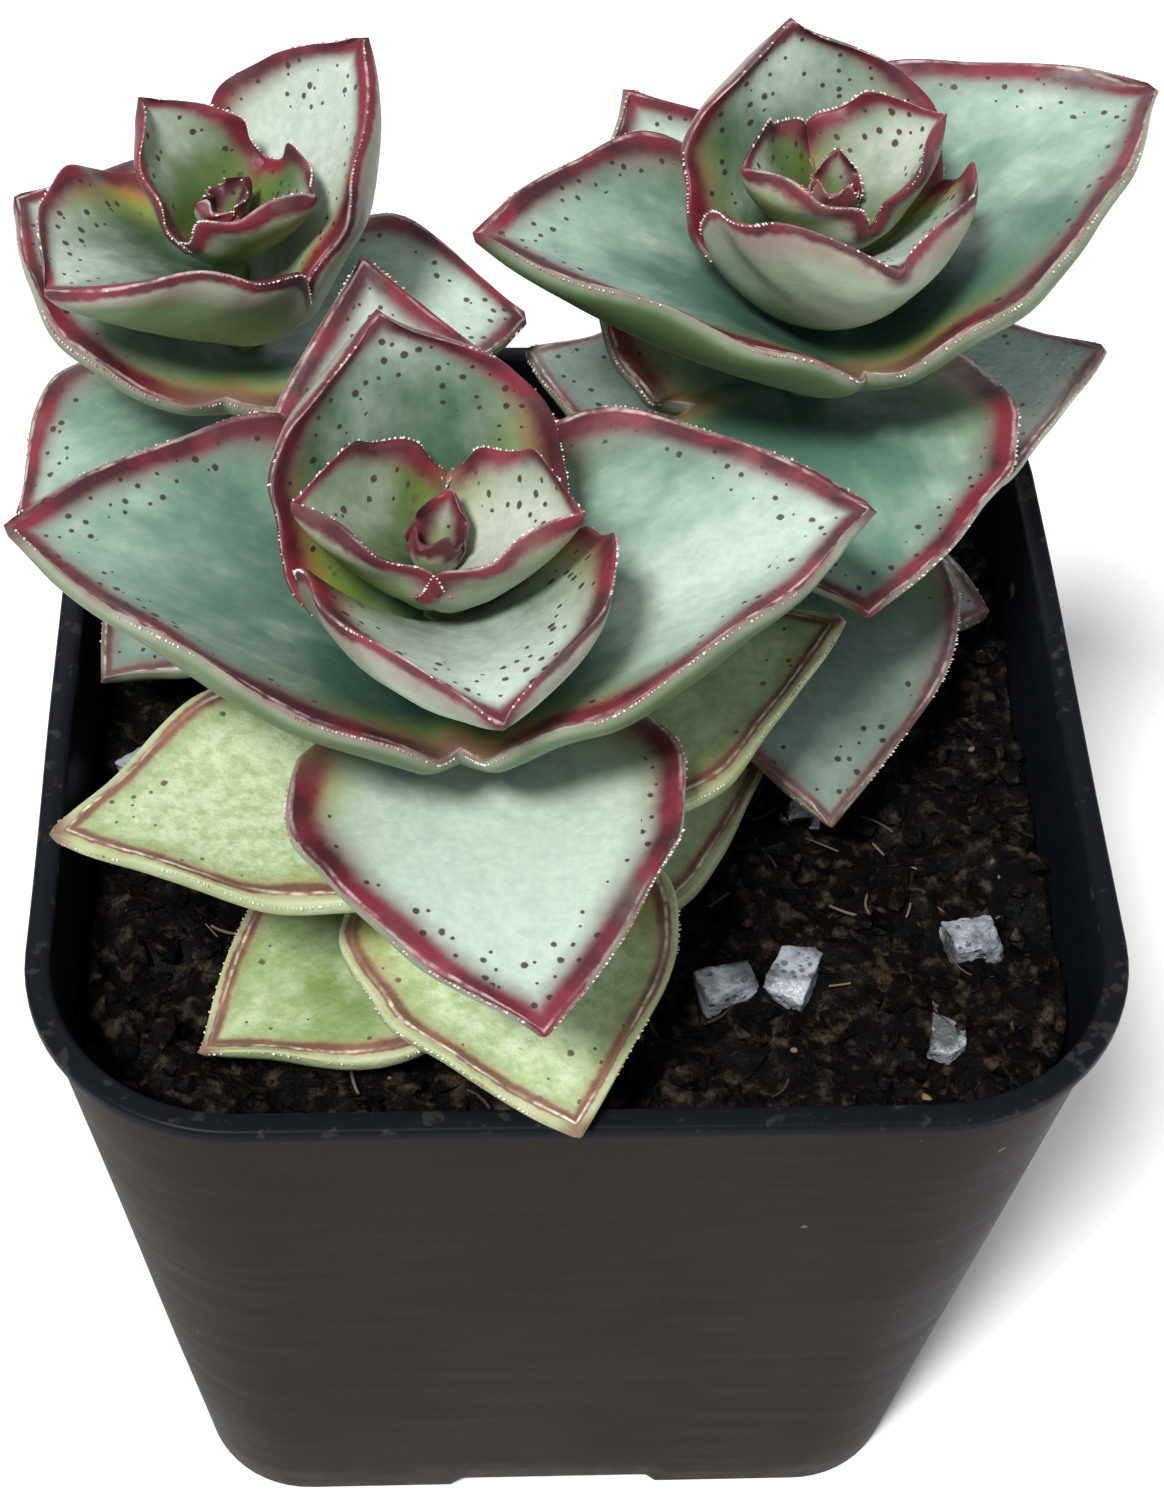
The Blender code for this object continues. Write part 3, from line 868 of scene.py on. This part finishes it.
    def fringe(self, bm: BMesh, chance: random.Random) -> None:
        """Adds a row of tiny papillae along each margin of both leaves."""
        for side, leaf in ((1, self.pair.first), (-1, self.pair.second)):
            count = int(leaf.length * 1.1 / self.fringe_step)
            for index in range(count):
                share = 0.02 + 0.96 * (index + chance.random() * 0.8) / count
                for sideways in (-1, 1):
                    point, normal, _ = self.place(share, side, sideways, 0)
                    thick = noise.noise(point * self.fringe_patch_scale) + 0.35 * chance.random()
                    if thick < self.fringe_bare:
                        continue
                    outward = point - self.place(share, side, 0, 0)[0]
                    outward = outward.normalized() if outward.length else normal
                    size = self.fringe_radius * chance.uniform(0.5, 1.3)
                    aim = outward + normal * chance.uniform(-0.2, 0.6)
                    turn = aim.to_track_quat("Z", "Y").to_matrix().to_4x4()
                    shape = Matrix.Diagonal((size, size, size * chance.uniform(1.1, 2.4), 1))
                    place = Matrix.Translation(point + outward * size * 0.5) @ turn @ shape
                    made = bmesh.ops.create_icosphere(bm, subdivisions=1, radius=1, matrix=place)
                    for face in {face for vert in made["verts"] for face in vert.link_faces}:
                        face.material_index = 1


@dataclass
class LeafyStem:
    """One upright stem with its pairs of leaves threaded on it."""

    name: str
    foot: Point
    crown: Point
    pairs: Sequence[Pair]
    foot_radius: float = 0.0017
    tip_radius: float = 0.0009
    root_depth: float = 0.0098
    rings: int = 64
    knot: float = 1.08
    knot_fall: float = 0.20
    knot_reach: float = 0.0022
    wrinkle: float = 0.06

    def point(self, height: float) -> Vector:
        """The point of the stem's middle line at a height."""
        foot, crown = Vector(self.foot), Vector(self.crown)
        return foot.lerp(crown, (height - foot.z) / (crown.z - foot.z))

    def build_stem(self, bark: Material) -> None:
        """Builds the stem: a tapered rod, swollen at each pair, with fine wrinkles between them."""
        low, high = self.foot[2] - self.root_depth, self.pairs[-1].height
        bm = bmesh.new()
        bmesh.ops.create_cone(bm, cap_ends=True, segments=28, radius1=1, radius2=1, depth=2)
        sides = [edge for edge in bm.edges if abs(edge.verts[0].co.z - edge.verts[1].co.z) > 1]
        bmesh.ops.subdivide_edges(bm, edges=sides, cuts=self.rings, use_grid_fill=True)
        heights = [pair.height for pair in self.pairs]
        for vert in bm.verts:
            share = (vert.co.z + 1) / 2
            height = low + (high - low) * share
            radius = self.foot_radius + (self.tip_radius - self.foot_radius) * share
            nearest = min(abs(height - other) for other in heights)
            radius *= self.knot - self.knot_fall * smooth_step(nearest / self.knot_reach)
            middle = self.point(height)
            flat = Vector((vert.co.x, vert.co.y, 0)) * radius
            flat *= 1 + self.wrinkle * noise.noise((middle + flat) * 900)
            vert.co = middle + flat
        settle(add_piece(f"{self.name}_stem_skin", bm, [bark]), [f"{self.name}_stem"])

    def build_leaves(self, finishes: dict[Age, Material], fringe: Material) -> None:
        """Builds every pair of leaves with its fringe."""
        for index, pair in enumerate(self.pairs):
            chance = random.Random(f"{self.name}{index}")
            model = LeafPairModel(pair, self.point(pair.height), index + len(self.name))
            if pair.age is Age.BUD:
                model.around, model.along = 36, 72
            bm = bmesh.new()
            model.blades(bm)
            model.fringe(bm, chance)
            piece = add_piece(f"{self.name}_leaves_{index + 1}", bm, [finishes[pair.age], fringe])
            settle(piece, [f"{self.name}_pair_{index + 1}"])


@dataclass
class Pot:
    """The thin square nursery pot, from its foot to its lip."""

    rim_side: float = 0.057
    rim_corner: float = 0.0112
    foot_side: float = 0.0445
    foot_corner: float = 0.0068
    height: float = 0.052
    wall: float = 0.0009
    lip_height: float = 0.0010
    lip_step: float = 0.0004
    lip_round: float = 0.00025
    floor: float = 0.0016
    notch_width: float = 0.0125
    notch_height: float = 0.0009
    notch_depth: float = 0.0040
    drain_radius: float = 0.0028
    drain_offset: float = 0.0105
    segments: int = 240
    wall_rings: int = 18
    waviness: float = 0.00012

    def wall_at(self, height: float, inset: float) -> tuple[float, float]:
        """Side and corner radius of the outer wall at a height, moved in by an inset."""
        rise = height / self.height
        side = self.foot_side + (self.rim_side - 2 * self.lip_step - self.foot_side) * rise
        corner = self.foot_corner + (self.rim_corner - self.lip_step - self.foot_corner) * rise
        return side - 2 * inset, corner - inset

    def stations(self) -> list[tuple[float, float, float, bool]]:
        """Rings of the skin in order, each with its side, corner radius, height and whether it is inside."""
        top, lip_foot, soft = self.height, self.height - self.lip_height, self.lip_round
        rings = [(*self.wall_at(0, self.notch_depth), 0, False), (*self.wall_at(0, soft), 0, False)]
        rings.append((*self.wall_at(0.3 * soft, 0.3 * soft), 0.3 * soft, False))
        for step in range(self.wall_rings + 1):
            level = soft + (lip_foot - soft) * step / self.wall_rings
            rings.append((*self.wall_at(level, 0), level, False))
        rings.append((self.rim_side, self.rim_corner, lip_foot + soft, False))
        rings.append((self.rim_side, self.rim_corner, top - soft, False))
        rings.append((self.rim_side - 0.6 * soft, self.rim_corner - 0.3 * soft, top - 0.3 * soft, False))
        rings.append((self.rim_side - 2 * soft, self.rim_corner - soft, top, False))
        rings.append((*self.wall_at(top, self.wall - soft), top, True))
        rings.append((*self.wall_at(top - 0.3 * soft, self.wall - 0.3 * soft), top - 0.3 * soft, True))
        for step in range(self.wall_rings + 1):
            level = (top - soft) + (self.floor - top + soft) * step / self.wall_rings
            rings.append((*self.wall_at(level, self.wall), level, True))
        return rings

    def build(self, plastic: Material) -> None:
        """Builds the pot by extruding one ring from station to station."""
        bm = bmesh.new()
        # Marks the inside rings, which the plastic's finish paints darker as painted shade.
        inner = bm.verts.layers.float.new("inner")
        ring = bmesh.ops.create_circle(bm, segments=self.segments, radius=1)["verts"]
        edges = bm.edges[:]
        first_edges = edges
        stations = self.stations()
        for index, (side, corner, height, inside) in enumerate(stations):
            if index:
                ring, edges = extrude_ring(bm, edges)
            for vert in ring:
                turn = math.atan2(vert.co.y, vert.co.x)
                radius = square_radius(turn, side, corner)
                flat = Vector((math.cos(turn), math.sin(turn), 0)) * radius
                wobble = noise.noise(Vector((flat.x * 60, flat.y * 60, height * 45))) * self.waviness
                flat *= 1 + wobble / radius * smooth_step(height / 0.02)
                vert.co = flat + Vector((0, 0, height + self.lift(flat, index)))
                vert[inner] = 1.0 if inside else 0.0
        bmesh.ops.contextual_create(bm, geom=first_edges)
        bmesh.ops.contextual_create(bm, geom=edges)
        bmesh.ops.recalc_face_normals(bm, faces=bm.faces)
        piece = add_piece("nursery_pot", bm, [plastic])
        self.drill(piece)
        settle(piece, ["pot"])

    def lift(self, flat: Vector, index: int) -> float:
        """Rise of the foot's edge over each notch, which only the outer foot rings have."""
        if index == 0 or index > 3:
            return 0.0
        along = min(abs(flat.x), abs(flat.y))
        half = self.notch_width / 2
        return self.notch_height * smooth_step((half + 0.0004 - along) / 0.0008)

    def drill(self, piece: Object) -> None:
        """Cuts the four drain holes through the floor."""
        bm = bmesh.new()
        for x in (-1, 1):
            for y in (-1, 1):
                place = Matrix.Translation((x * self.drain_offset, y * self.drain_offset, 0))
                bmesh.ops.create_cone(
                    bm, cap_ends=True, segments=40, radius1=self.drain_radius, radius2=self.drain_radius,
                    depth=self.floor * 3, matrix=place,
                )
        drill = add_piece("drill", bm, [])
        modifier = piece.modifiers.new("drain_holes", "BOOLEAN")
        modifier.operation = "DIFFERENCE"
        modifier.solver = "EXACT"
        modifier.object = drill
        graph = bpy.context.evaluated_depsgraph_get()
        drilled = bpy.data.meshes.new_from_object(piece.evaluated_get(graph))
        piece.modifiers.clear()
        piece.data = drilled
        drilled.set_sharp_from_angle(angle=math.radians(50))
        bpy.data.objects.remove(drill)


@dataclass
class Soil:
    """The peat: a rough bed, loose crumbs and fibres, and the grains of perlite."""

    pot: Pot
    level: float = 0.0462
    swell: float = 0.0007
    gap: float = 0.0003
    slope: float = 0.02
    clods: Profile = ((300, 0.0006), (900, 0.0004))
    pit_scale: float = 620
    pit_depth: float = 0.0008
    cells: int = 150
    crumbs: int = 2200
    crumb_least: float = 0.00018
    crumb_spread: float = 0.00085
    fibres: int = 90
    fibre_steps: int = 6
    fibre_lift: float = 0.00042

    def height(self, x: float, y: float) -> float:
        """Height of the bed's broad shape."""
        swell = math.sin(430 * x + 1.1) * math.cos(390 * y - 0.6) + 0.6 * math.sin(760 * (x + y) + 2)
        return self.level + self.swell * swell + self.slope * (x - y)

    def rough_height(self, x: float, y: float) -> float:
        """Height of the bed with its clods."""
        spot = Vector((x, y, 0))
        clods = sum(noise.noise(spot * scale) * rise for scale, rise in self.clods)
        pits = noise.voronoi(spot * self.pit_scale)[0][0]
        return self.height(x, y) + clods + (0.35 - pits) * self.pit_depth

    def build_bed(self, peat: Material) -> None:
        """Builds the bed from a grid fitted to the pot, closed down to the pot's floor."""
        bottom = self.pot.floor + self.gap
        side, corner = self.pot.wall_at(self.level - 2 * self.swell, self.pot.wall + self.gap)
        low_side, low_corner = self.pot.wall_at(bottom, self.pot.wall + self.gap)
        bm = bmesh.new()
        bmesh.ops.create_grid(bm, x_segments=self.cells, y_segments=self.cells, size=1)
        for vert in bm.verts:
            reach = max(abs(vert.co.x), abs(vert.co.y))
            turn = math.atan2(vert.co.y, vert.co.x)
            radius = reach * square_radius(turn, side, corner)
            x, y = math.cos(turn) * radius, math.sin(turn) * radius
            vert.co = (x, y, self.rough_height(x, y))
        border = [edge for edge in bm.edges if edge.is_boundary]
        skirt = bmesh.ops.extrude_edge_only(bm, edges=border)["geom"]
        for vert in (part for part in skirt if isinstance(part, BMVert)):
            turn = math.atan2(vert.co.y, vert.co.x)
            radius = square_radius(turn, low_side, low_corner)
            vert.co = (math.cos(turn) * radius, math.sin(turn) * radius, bottom)
        open_edges = [edge for edge in bm.edges if edge.is_boundary]
        bmesh.ops.contextual_create(bm, geom=open_edges)
        bmesh.ops.recalc_face_normals(bm, faces=bm.faces)
        settle(add_piece("peat_bed", bm, [peat]), ["soil"])

    def spots(self, count: int, chance: random.Random, margin: float) -> Iterable[tuple[float, float]]:
        """Random places on the bed, clear of the pot's wall by a margin."""
        side, corner = self.pot.wall_at(self.level, self.pot.wall + margin)
        made = 0
        while made < count:
            x, y = chance.uniform(-side / 2, side / 2), chance.uniform(-side / 2, side / 2)
            if math.hypot(x, y) < square_radius(math.atan2(y, x), side, corner):
                made += 1
                yield x, y

    def build_crumbs(self, peat: Material) -> None:
        """Scatters angular crumbs of peat and bark over the bed."""
        chance = random.Random(11)
        bm = bmesh.new()
        for x, y in self.spots(self.crumbs, chance, 0.0009):
            size = self.crumb_least + self.crumb_spread * chance.random() ** 3
            turn = Matrix.Rotation(chance.uniform(0, 6.3), 4, Vector((chance.random(), chance.random(), 1)))
            long, thick = size * chance.uniform(0.8, 2.2), size * chance.uniform(0.3, 0.8)
            shape = Matrix.Diagonal((long, size, thick, 1))
            place = Matrix.Translation((x, y, self.rough_height(x, y) + size * 0.25)) @ turn @ shape
            made = bmesh.ops.create_icosphere(bm, subdivisions=1, radius=1, matrix=place)["verts"]
            for vert in made:
                vert.co += noise.noise_vector(vert.co * 2600) * size * 0.7
        piece = add_piece("peat_crumbs", bm, [peat])
        piece.data.shade_flat()
        settle(piece)

    def build_fibres(self, fibre: Material) -> None:
        """Lays thin bent fibres on the bed."""
        chance = random.Random(23)
        bm = bmesh.new()
        for x, y in self.spots(self.fibres, chance, 0.0030):
            length = chance.uniform(0.0008, 0.0030)
            radius = chance.uniform(0.00004, 0.00010)
            turn, curl = chance.uniform(0, 6.3), chance.uniform(-260, 260)
            tilt = chance.uniform(-0.15, 0.25)
            ring = bmesh.ops.create_circle(bm, segments=4, radius=radius)["verts"]
            edges = list({edge for vert in ring for edge in vert.link_edges})
            offsets = [vert.co.copy() for vert in ring]
            for step in range(self.fibre_steps + 1):
                if step:
                    ring, edges = extrude_ring(bm, edges)
                run = length * (step / self.fibre_steps - 0.5)
                angle = turn + curl * run
                px, py = x + math.cos(angle) * run, y + math.sin(angle) * run
                lay = self.height(px, py) + self.fibre_lift + tilt * run
                for vert, off in zip(ring, offsets):
                    vert.co = (px - math.sin(angle) * off.x, py + math.cos(angle) * off.x, lay + off.y)
        bmesh.ops.recalc_face_normals(bm, faces=bm.faces)
        settle(add_piece("peat_fibres", bm, [fibre]))


@dataclass(frozen=True)
class Grain:
    """One grain of perlite: its place, half length and turn in degrees.

    The lump is cut and roughened at unit size before it is scaled.
    """

    x: float
    y: float
    size: float
    turn: float
    squash: Point = (1, 0.8, 0.7)
    rise: float = 0.25
    skew: float = 0.20
    cuts: int = 6
    cut_reach: float = 0.80
    bevel: float = 0.05
    finest_edge: float = 0.09
    roughness: float = 0.07

    def build(self, number: int, soil: Soil, perlite: Material) -> None:
        """Builds the grain as a broken lump sunk in the peat."""
        height = soil.height(self.x, self.y) + self.size * self.rise
        turn = Matrix.Rotation(math.radians(self.turn), 4, "Z")
        place = Matrix.Translation((self.x, self.y, height)) @ turn
        shape = Matrix.Diagonal((*(self.size * share for share in self.squash), 1))
        chance = random.Random(number)
        bm = bmesh.new()
        bmesh.ops.create_cube(bm, size=1.5)
        for vert in bm.verts:
            vert.co += Vector([chance.uniform(-self.skew, self.skew) for _ in range(3)])
        for _ in range(self.cuts):
            away = Vector([chance.gauss(0, 1) for _ in range(3)]).normalized()
            parts = bm.verts[:] + bm.edges[:] + bm.faces[:]
            spot = away * self.cut_reach
            bmesh.ops.bisect_plane(bm, geom=parts, plane_co=spot, plane_no=away, clear_outer=True)
            bmesh.ops.holes_fill(bm, edges=[edge for edge in bm.edges if edge.is_boundary])
        bmesh.ops.bevel(
            bm, geom=bm.edges[:], offset=self.bevel, segments=2, affect="EDGES", profile=0.5, material=-1
        )
        bmesh.ops.triangulate(bm, faces=bm.faces[:])
        for _ in range(3):
            long = [edge for edge in bm.edges if edge.calc_length() > self.finest_edge]
            bmesh.ops.subdivide_edges(bm, edges=long, cuts=1, use_grid_fill=False)
            bmesh.ops.triangulate(bm, faces=bm.faces[:])
        for vert in bm.verts:
            vert.co += noise.noise_vector(vert.co * 4 + Vector((number * 3.1, 0, 0))) * self.roughness
        bmesh.ops.recalc_face_normals(bm, faces=bm.faces)
        bmesh.ops.transform(bm, matrix=place @ shape, verts=bm.verts)
        settle(add_piece(f"perlite_lump_{number}", bm, [perlite]), [f"perlite_{number}"])


STEMS = (
    LeafyStem("front", (-0.0045, -0.0120, 0.046), (-0.0076, -0.0140, 0.078), (
        Pair(0.0488, 4, 0.0026, 0, Age.OLD,
             Leaf(214, 0.0180, 0.0080, 8, -2, 0.10, 0.30), Leaf(24, 0.0172, 0.0070, 16, 8, 0.10, 0.30)),
        Pair(0.0545, 0, 0.0028, 0, Age.OLD,
             Leaf(285, 0.0180, 0.0086, 2, -10, 0.08, 0.90), Leaf(100, 0.0160, 0.0075, 12, 4, 0.08, 0.40)),
        Pair(0.0600, 4, 0.0028, 0, Age.OLD,
             Leaf(192, 0.0210, 0.0085, 8, 0, 0.14, 0.85), Leaf(21, 0.0212, 0.0082, 15, 8, 0.14, 0.35)),
        Pair(0.0646, 0, 0.0029, 0.1, Age.GROWN,
             Leaf(280, 0.0200, 0.0094, 16, -6, 0.16, 1.00), Leaf(104, 0.0243, 0.0094, 26, 46, 0.18, 0.60)),
        Pair(0.0692, 6, 0.0030, 0.2, Age.GROWN,
             Leaf(177, 0.0222, 0.0104, 31, 18, 0.32, 0.12), Leaf(7, 0.0215, 0.0104, 31, 18, 0.32, 0.36)),
        Pair(0.0728, 0, 0.0034, 0.9, Age.YOUNG,
             Leaf(281, 0.0138, 0.0070, 48, 12, 0.60, 0.80), Leaf(112, 0.0154, 0.0071, 38, 82, 0.32, 0.05)),
        Pair(0.0762, 0, 0.0017, 0.7, Age.BUD,
             Leaf(188, 0.0086, 0.0044, 40, 44, 0.66, 0.10), Leaf(342, 0.0090, 0.0044, 38, 50, 0.62, 0.90)),
        Pair(0.0771, 0, 0.0011, 0.5, Age.BUD,
             Leaf(250, 0.0027, 0.0013, 54, 68, 0.70, 0.20), Leaf(70, 0.0035, 0.0014, 52, 64, 0.70, 0.20)),
    )),
    LeafyStem("right", (0.0125, 0.0120, 0.046), (0.0122, 0.0060, 0.084), (
        Pair(0.0498, 0, 0.0026, 0, Age.SHADED,
             Leaf(340, 0.0130, 0.0070, 6, 4, 0.10, 0.30), Leaf(165, 0.0140, 0.0070, 6, 2, 0.10, 0.30)),
        Pair(0.0555, 0, 0.0027, 0.1, Age.SHADED,
             Leaf(273, 0.0212, 0.0088, 0, -14, 0.10, 0.50), Leaf(95, 0.0150, 0.0080, 10, 0, 0.10, 0.30)),
        Pair(0.0612, 0, 0.0027, 0, Age.SHADED,
             Leaf(158, 0.0160, 0.0075, 8, 8, 0.12, 0.30), Leaf(15, 0.0188, 0.0080, 14, 8, 0.12, 0.40)),
        Pair(0.0666, 0, 0.0029, 0.2, Age.GROWN,
             Leaf(276, 0.0172, 0.0100, 14, -10, 0.16, 0.05), Leaf(130, 0.0188, 0.0095, 32, 46, 0.18, 0.50)),
        Pair(0.0722, 6, 0.0030, 0.2, Age.GROWN,
             Leaf(185, 0.0194, 0.0092, 30, 16, 0.34, 0.20), Leaf(25, 0.0217, 0.0102, 32, 20, 0.34, 0.18)),
        Pair(0.0760, 0, 0.0032, 0.9, Age.YOUNG,
             Leaf(286, 0.0112, 0.0068, 48, 38, 0.58, 0.70), Leaf(107, 0.0133, 0.0070, 38, 82, 0.32, 0.20)),
        Pair(0.0797, 0, 0.0016, 0.7, Age.BUD,
             Leaf(200, 0.0072, 0.0040, 42, 48, 0.62, 0.20), Leaf(16, 0.0080, 0.0040, 42, 56, 0.62, 0.50)),
        Pair(0.0807, 0, 0.0010, 0.5, Age.BUD,
             Leaf(262, 0.0025, 0.0012, 54, 68, 0.70, 0.20), Leaf(84, 0.0031, 0.0013, 52, 64, 0.70, 0.20)),
    )),
    LeafyStem("left", (-0.0160, 0.0125, 0.046), (-0.0186, 0.0120, 0.078), (
        Pair(0.0512, 0, 0.0025, 0, Age.SHADED,
             Leaf(227, 0.0142, 0.0062, 2, -6, 0.10, 0.30), Leaf(47, 0.0130, 0.0065, 6, 0, 0.10, 0.30)),
        Pair(0.0566, 0, 0.0025, 0, Age.SHADED,
             Leaf(150, 0.0120, 0.0065, 10, 0, 0.10, 0.30), Leaf(325, 0.0130, 0.0068, 10, 0, 0.10, 0.30)),
        Pair(0.0618, 0, 0.0027, 0.3, Age.GROWN,
             Leaf(210, 0.0146, 0.0080, 6, -12, 0.14, 0.30), Leaf(35, 0.0140, 0.0070, 12, 4, 0.14, 0.30)),
        Pair(0.0666, 0, 0.0028, 0.4, Age.GROWN,
             Leaf(156, 0.0145, 0.0084, 30, 18, 0.22, 0.60), Leaf(10, 0.0158, 0.0078, 12, -14, 0.20, 0.50)),
        Pair(0.0708, 8, 0.0032, 0.7, Age.YOUNG,
             Leaf(218, 0.0126, 0.0074, 40, 18, 0.46, 0.30), Leaf(38, 0.0152, 0.0068, 46, 66, 0.32, 1.00)),
        Pair(0.0740, 0, 0.0015, 0.7, Age.BUD,
             Leaf(328, 0.0080, 0.0038, 42, 50, 0.60, 0.20), Leaf(143, 0.0086, 0.0038, 48, 64, 0.56, 0.30)),
        Pair(0.0750, 0, 0.0010, 0.5, Age.BUD,
             Leaf(210, 0.0024, 0.0011, 54, 68, 0.70, 0.20), Leaf(34, 0.0030, 0.0012, 52, 64, 0.70, 0.20)),
    )),
)

GRAINS = (
    Grain(0.0080, -0.0166, 0.0019, 20),
    Grain(0.0116, -0.0160, 0.0021, 65),
    Grain(0.0216, -0.0140, 0.0018, 10),
    Grain(0.0192, -0.0206, 0.0014, 80),
    Grain(-0.0236, -0.0010, 0.0018, 40),
    Grain(0.0128, -0.0046, 0.0014, 0),
)


@dataclass(frozen=True)
class Studio:
    """The camera at the photograph's angle, soft lights and a pale floor."""

    azimuth: float = -5.12
    elevation: float = 49.85
    roll: float = 3.63
    distance: float = 0.198
    aside: float = 0.00281
    above: float = 0.03024
    focal_pixels: float = 2851
    long_side_pixels: float = 1500
    sensor: float = 36
    aim: Point = (0, 0, 0.05)
    world_light: float = 0.30
    sky: Colour = (0.95, 0.97, 1.0)
    floor_low: float = 0.84
    floor_high: float = 0.87

    def build(self) -> None:
        """Builds the camera, the lights, the world and the floor."""
        self.build_camera()
        self.add_light("SUN", "key", (-0.13, -0.20, 0.44), 4.3, (1.0, 0.98, 0.95), 12)
        self.add_light("AREA", "fill", (0.42, -0.05, 0.26), 0.45, (0.95, 0.98, 1.0), 0.40)
        self.add_light("AREA", "back", (-0.10, 0.40, 0.32), 0.6, (1.0, 1.0, 1.0), 0.30)
        self.build_world()
        self.build_floor()

    def build_camera(self) -> None:
        """Places the camera by its direction from the pot's foot, its distance and its small offsets."""
        azimuth, elevation, roll = (math.radians(v) for v in (self.azimuth, self.elevation, self.roll))
        level = math.cos(elevation)
        back = Vector((math.sin(azimuth) * level, -math.cos(azimuth) * level, math.sin(elevation)))
        right = Vector((math.cos(azimuth), math.sin(azimuth), 0))
        up = back.cross(right)
        right, up = right * math.cos(roll) + up * math.sin(roll), up * math.cos(roll) - right * math.sin(roll)
        camera = bpy.data.objects.new("camera", bpy.data.cameras.new("camera"))
        turn = Matrix((right, up, back)).transposed().to_4x4()
        place = back * self.distance + right * self.aside + up * self.above
        camera.matrix_world = Matrix.Translation(place) @ turn
        camera.data.sensor_width = self.sensor
        camera.data.lens = self.sensor * self.focal_pixels / self.long_side_pixels
        camera.data.clip_start = 0.01
        bpy.context.scene.collection.objects.link(camera)
        bpy.context.scene.camera = camera

    def add_light(self, kind: str, name: str, place: Point, power: float, tint: Colour, size: float) -> None:
        """Adds a light aimed at the plant.

        Args:
            kind: AREA or SUN.
            name: The light's name.
            place: Where it stands.
            power: Watts, or strength for a sun.
            tint: Its colour.
            size: Side in metres, or spread in degrees for a sun.
        """
        light = bpy.data.lights.new(name, kind)
        if kind == "SUN":
            light.angle = math.radians(size)
        else:
            light.size = size
        light.energy = power
        light.color = tint
        lamp = bpy.data.objects.new(name, light)
        aim = Vector(self.aim) - Vector(place)
        lamp.matrix_world = Matrix.Translation(place) @ aim.to_track_quat("-Z", "Y").to_matrix().to_4x4()
        bpy.context.scene.collection.objects.link(lamp)

    def build_world(self) -> None:
        """Builds the surroundings: dim for the plant's light and pale where the background shows."""
        world = bpy.data.worlds.new("studio")
        world.use_nodes = True
        graph, shader = Graph(world.node_tree), world.node_tree.nodes["Background"]
        seen = graph.add("LightPath", {}).outputs["Is Camera Ray"]
        graph.feed(shader, {"Color": self.sky, "Strength": graph.blend(seen, self.world_light, 1)})
        bpy.context.scene.world = world
        bpy.context.scene.view_settings.view_transform = "Standard"

    def build_floor(self) -> None:
        """Builds the pale floor."""
        bm = bmesh.new()
        bmesh.ops.create_grid(bm, x_segments=1, y_segments=1, size=3)
        material, graph, shader = start_material("pale_floor")
        tone = graph.mix(graph.noise(3, 2), (self.floor_low,) * 3, (self.floor_high,) * 3)
        graph.feed(shader, {"Base Color": tone, "Roughness": 0.9})
        add_piece("floor", bm, [material])


def main() -> None:
    """Builds the pot, the peat, the perlite and the three leafy stems."""
    logging.basicConfig(level=logging.INFO, format="%(message)s")
    noise.seed_set(NOISE_SEED)
    Studio().build()
    effects = SharedEffects()
    peat, fibre = PeatFinish().build(effects), FibreFinish().build()
    bark, perlite = BarkFinish().build(effects), PerliteFinish().build(effects)
    leaf_skins = {age: finish.build(effects) for age, finish in LEAF_FINISHES.items()}
    fringe = FringeFinish().build()
    pot = Pot()
    pot.build(PlasticFinish().build(effects))
    soil = Soil(pot)
    soil.build_bed(peat)
    soil.build_crumbs(peat)
    soil.build_fibres(fibre)
    for number, grain in enumerate(GRAINS, 1):
        grain.build(number, soil, perlite)
    for stem in STEMS:
        stem.build_stem(bark)
        stem.build_leaves(leaf_skins, fringe)


if __name__ == "__main__":
    main()
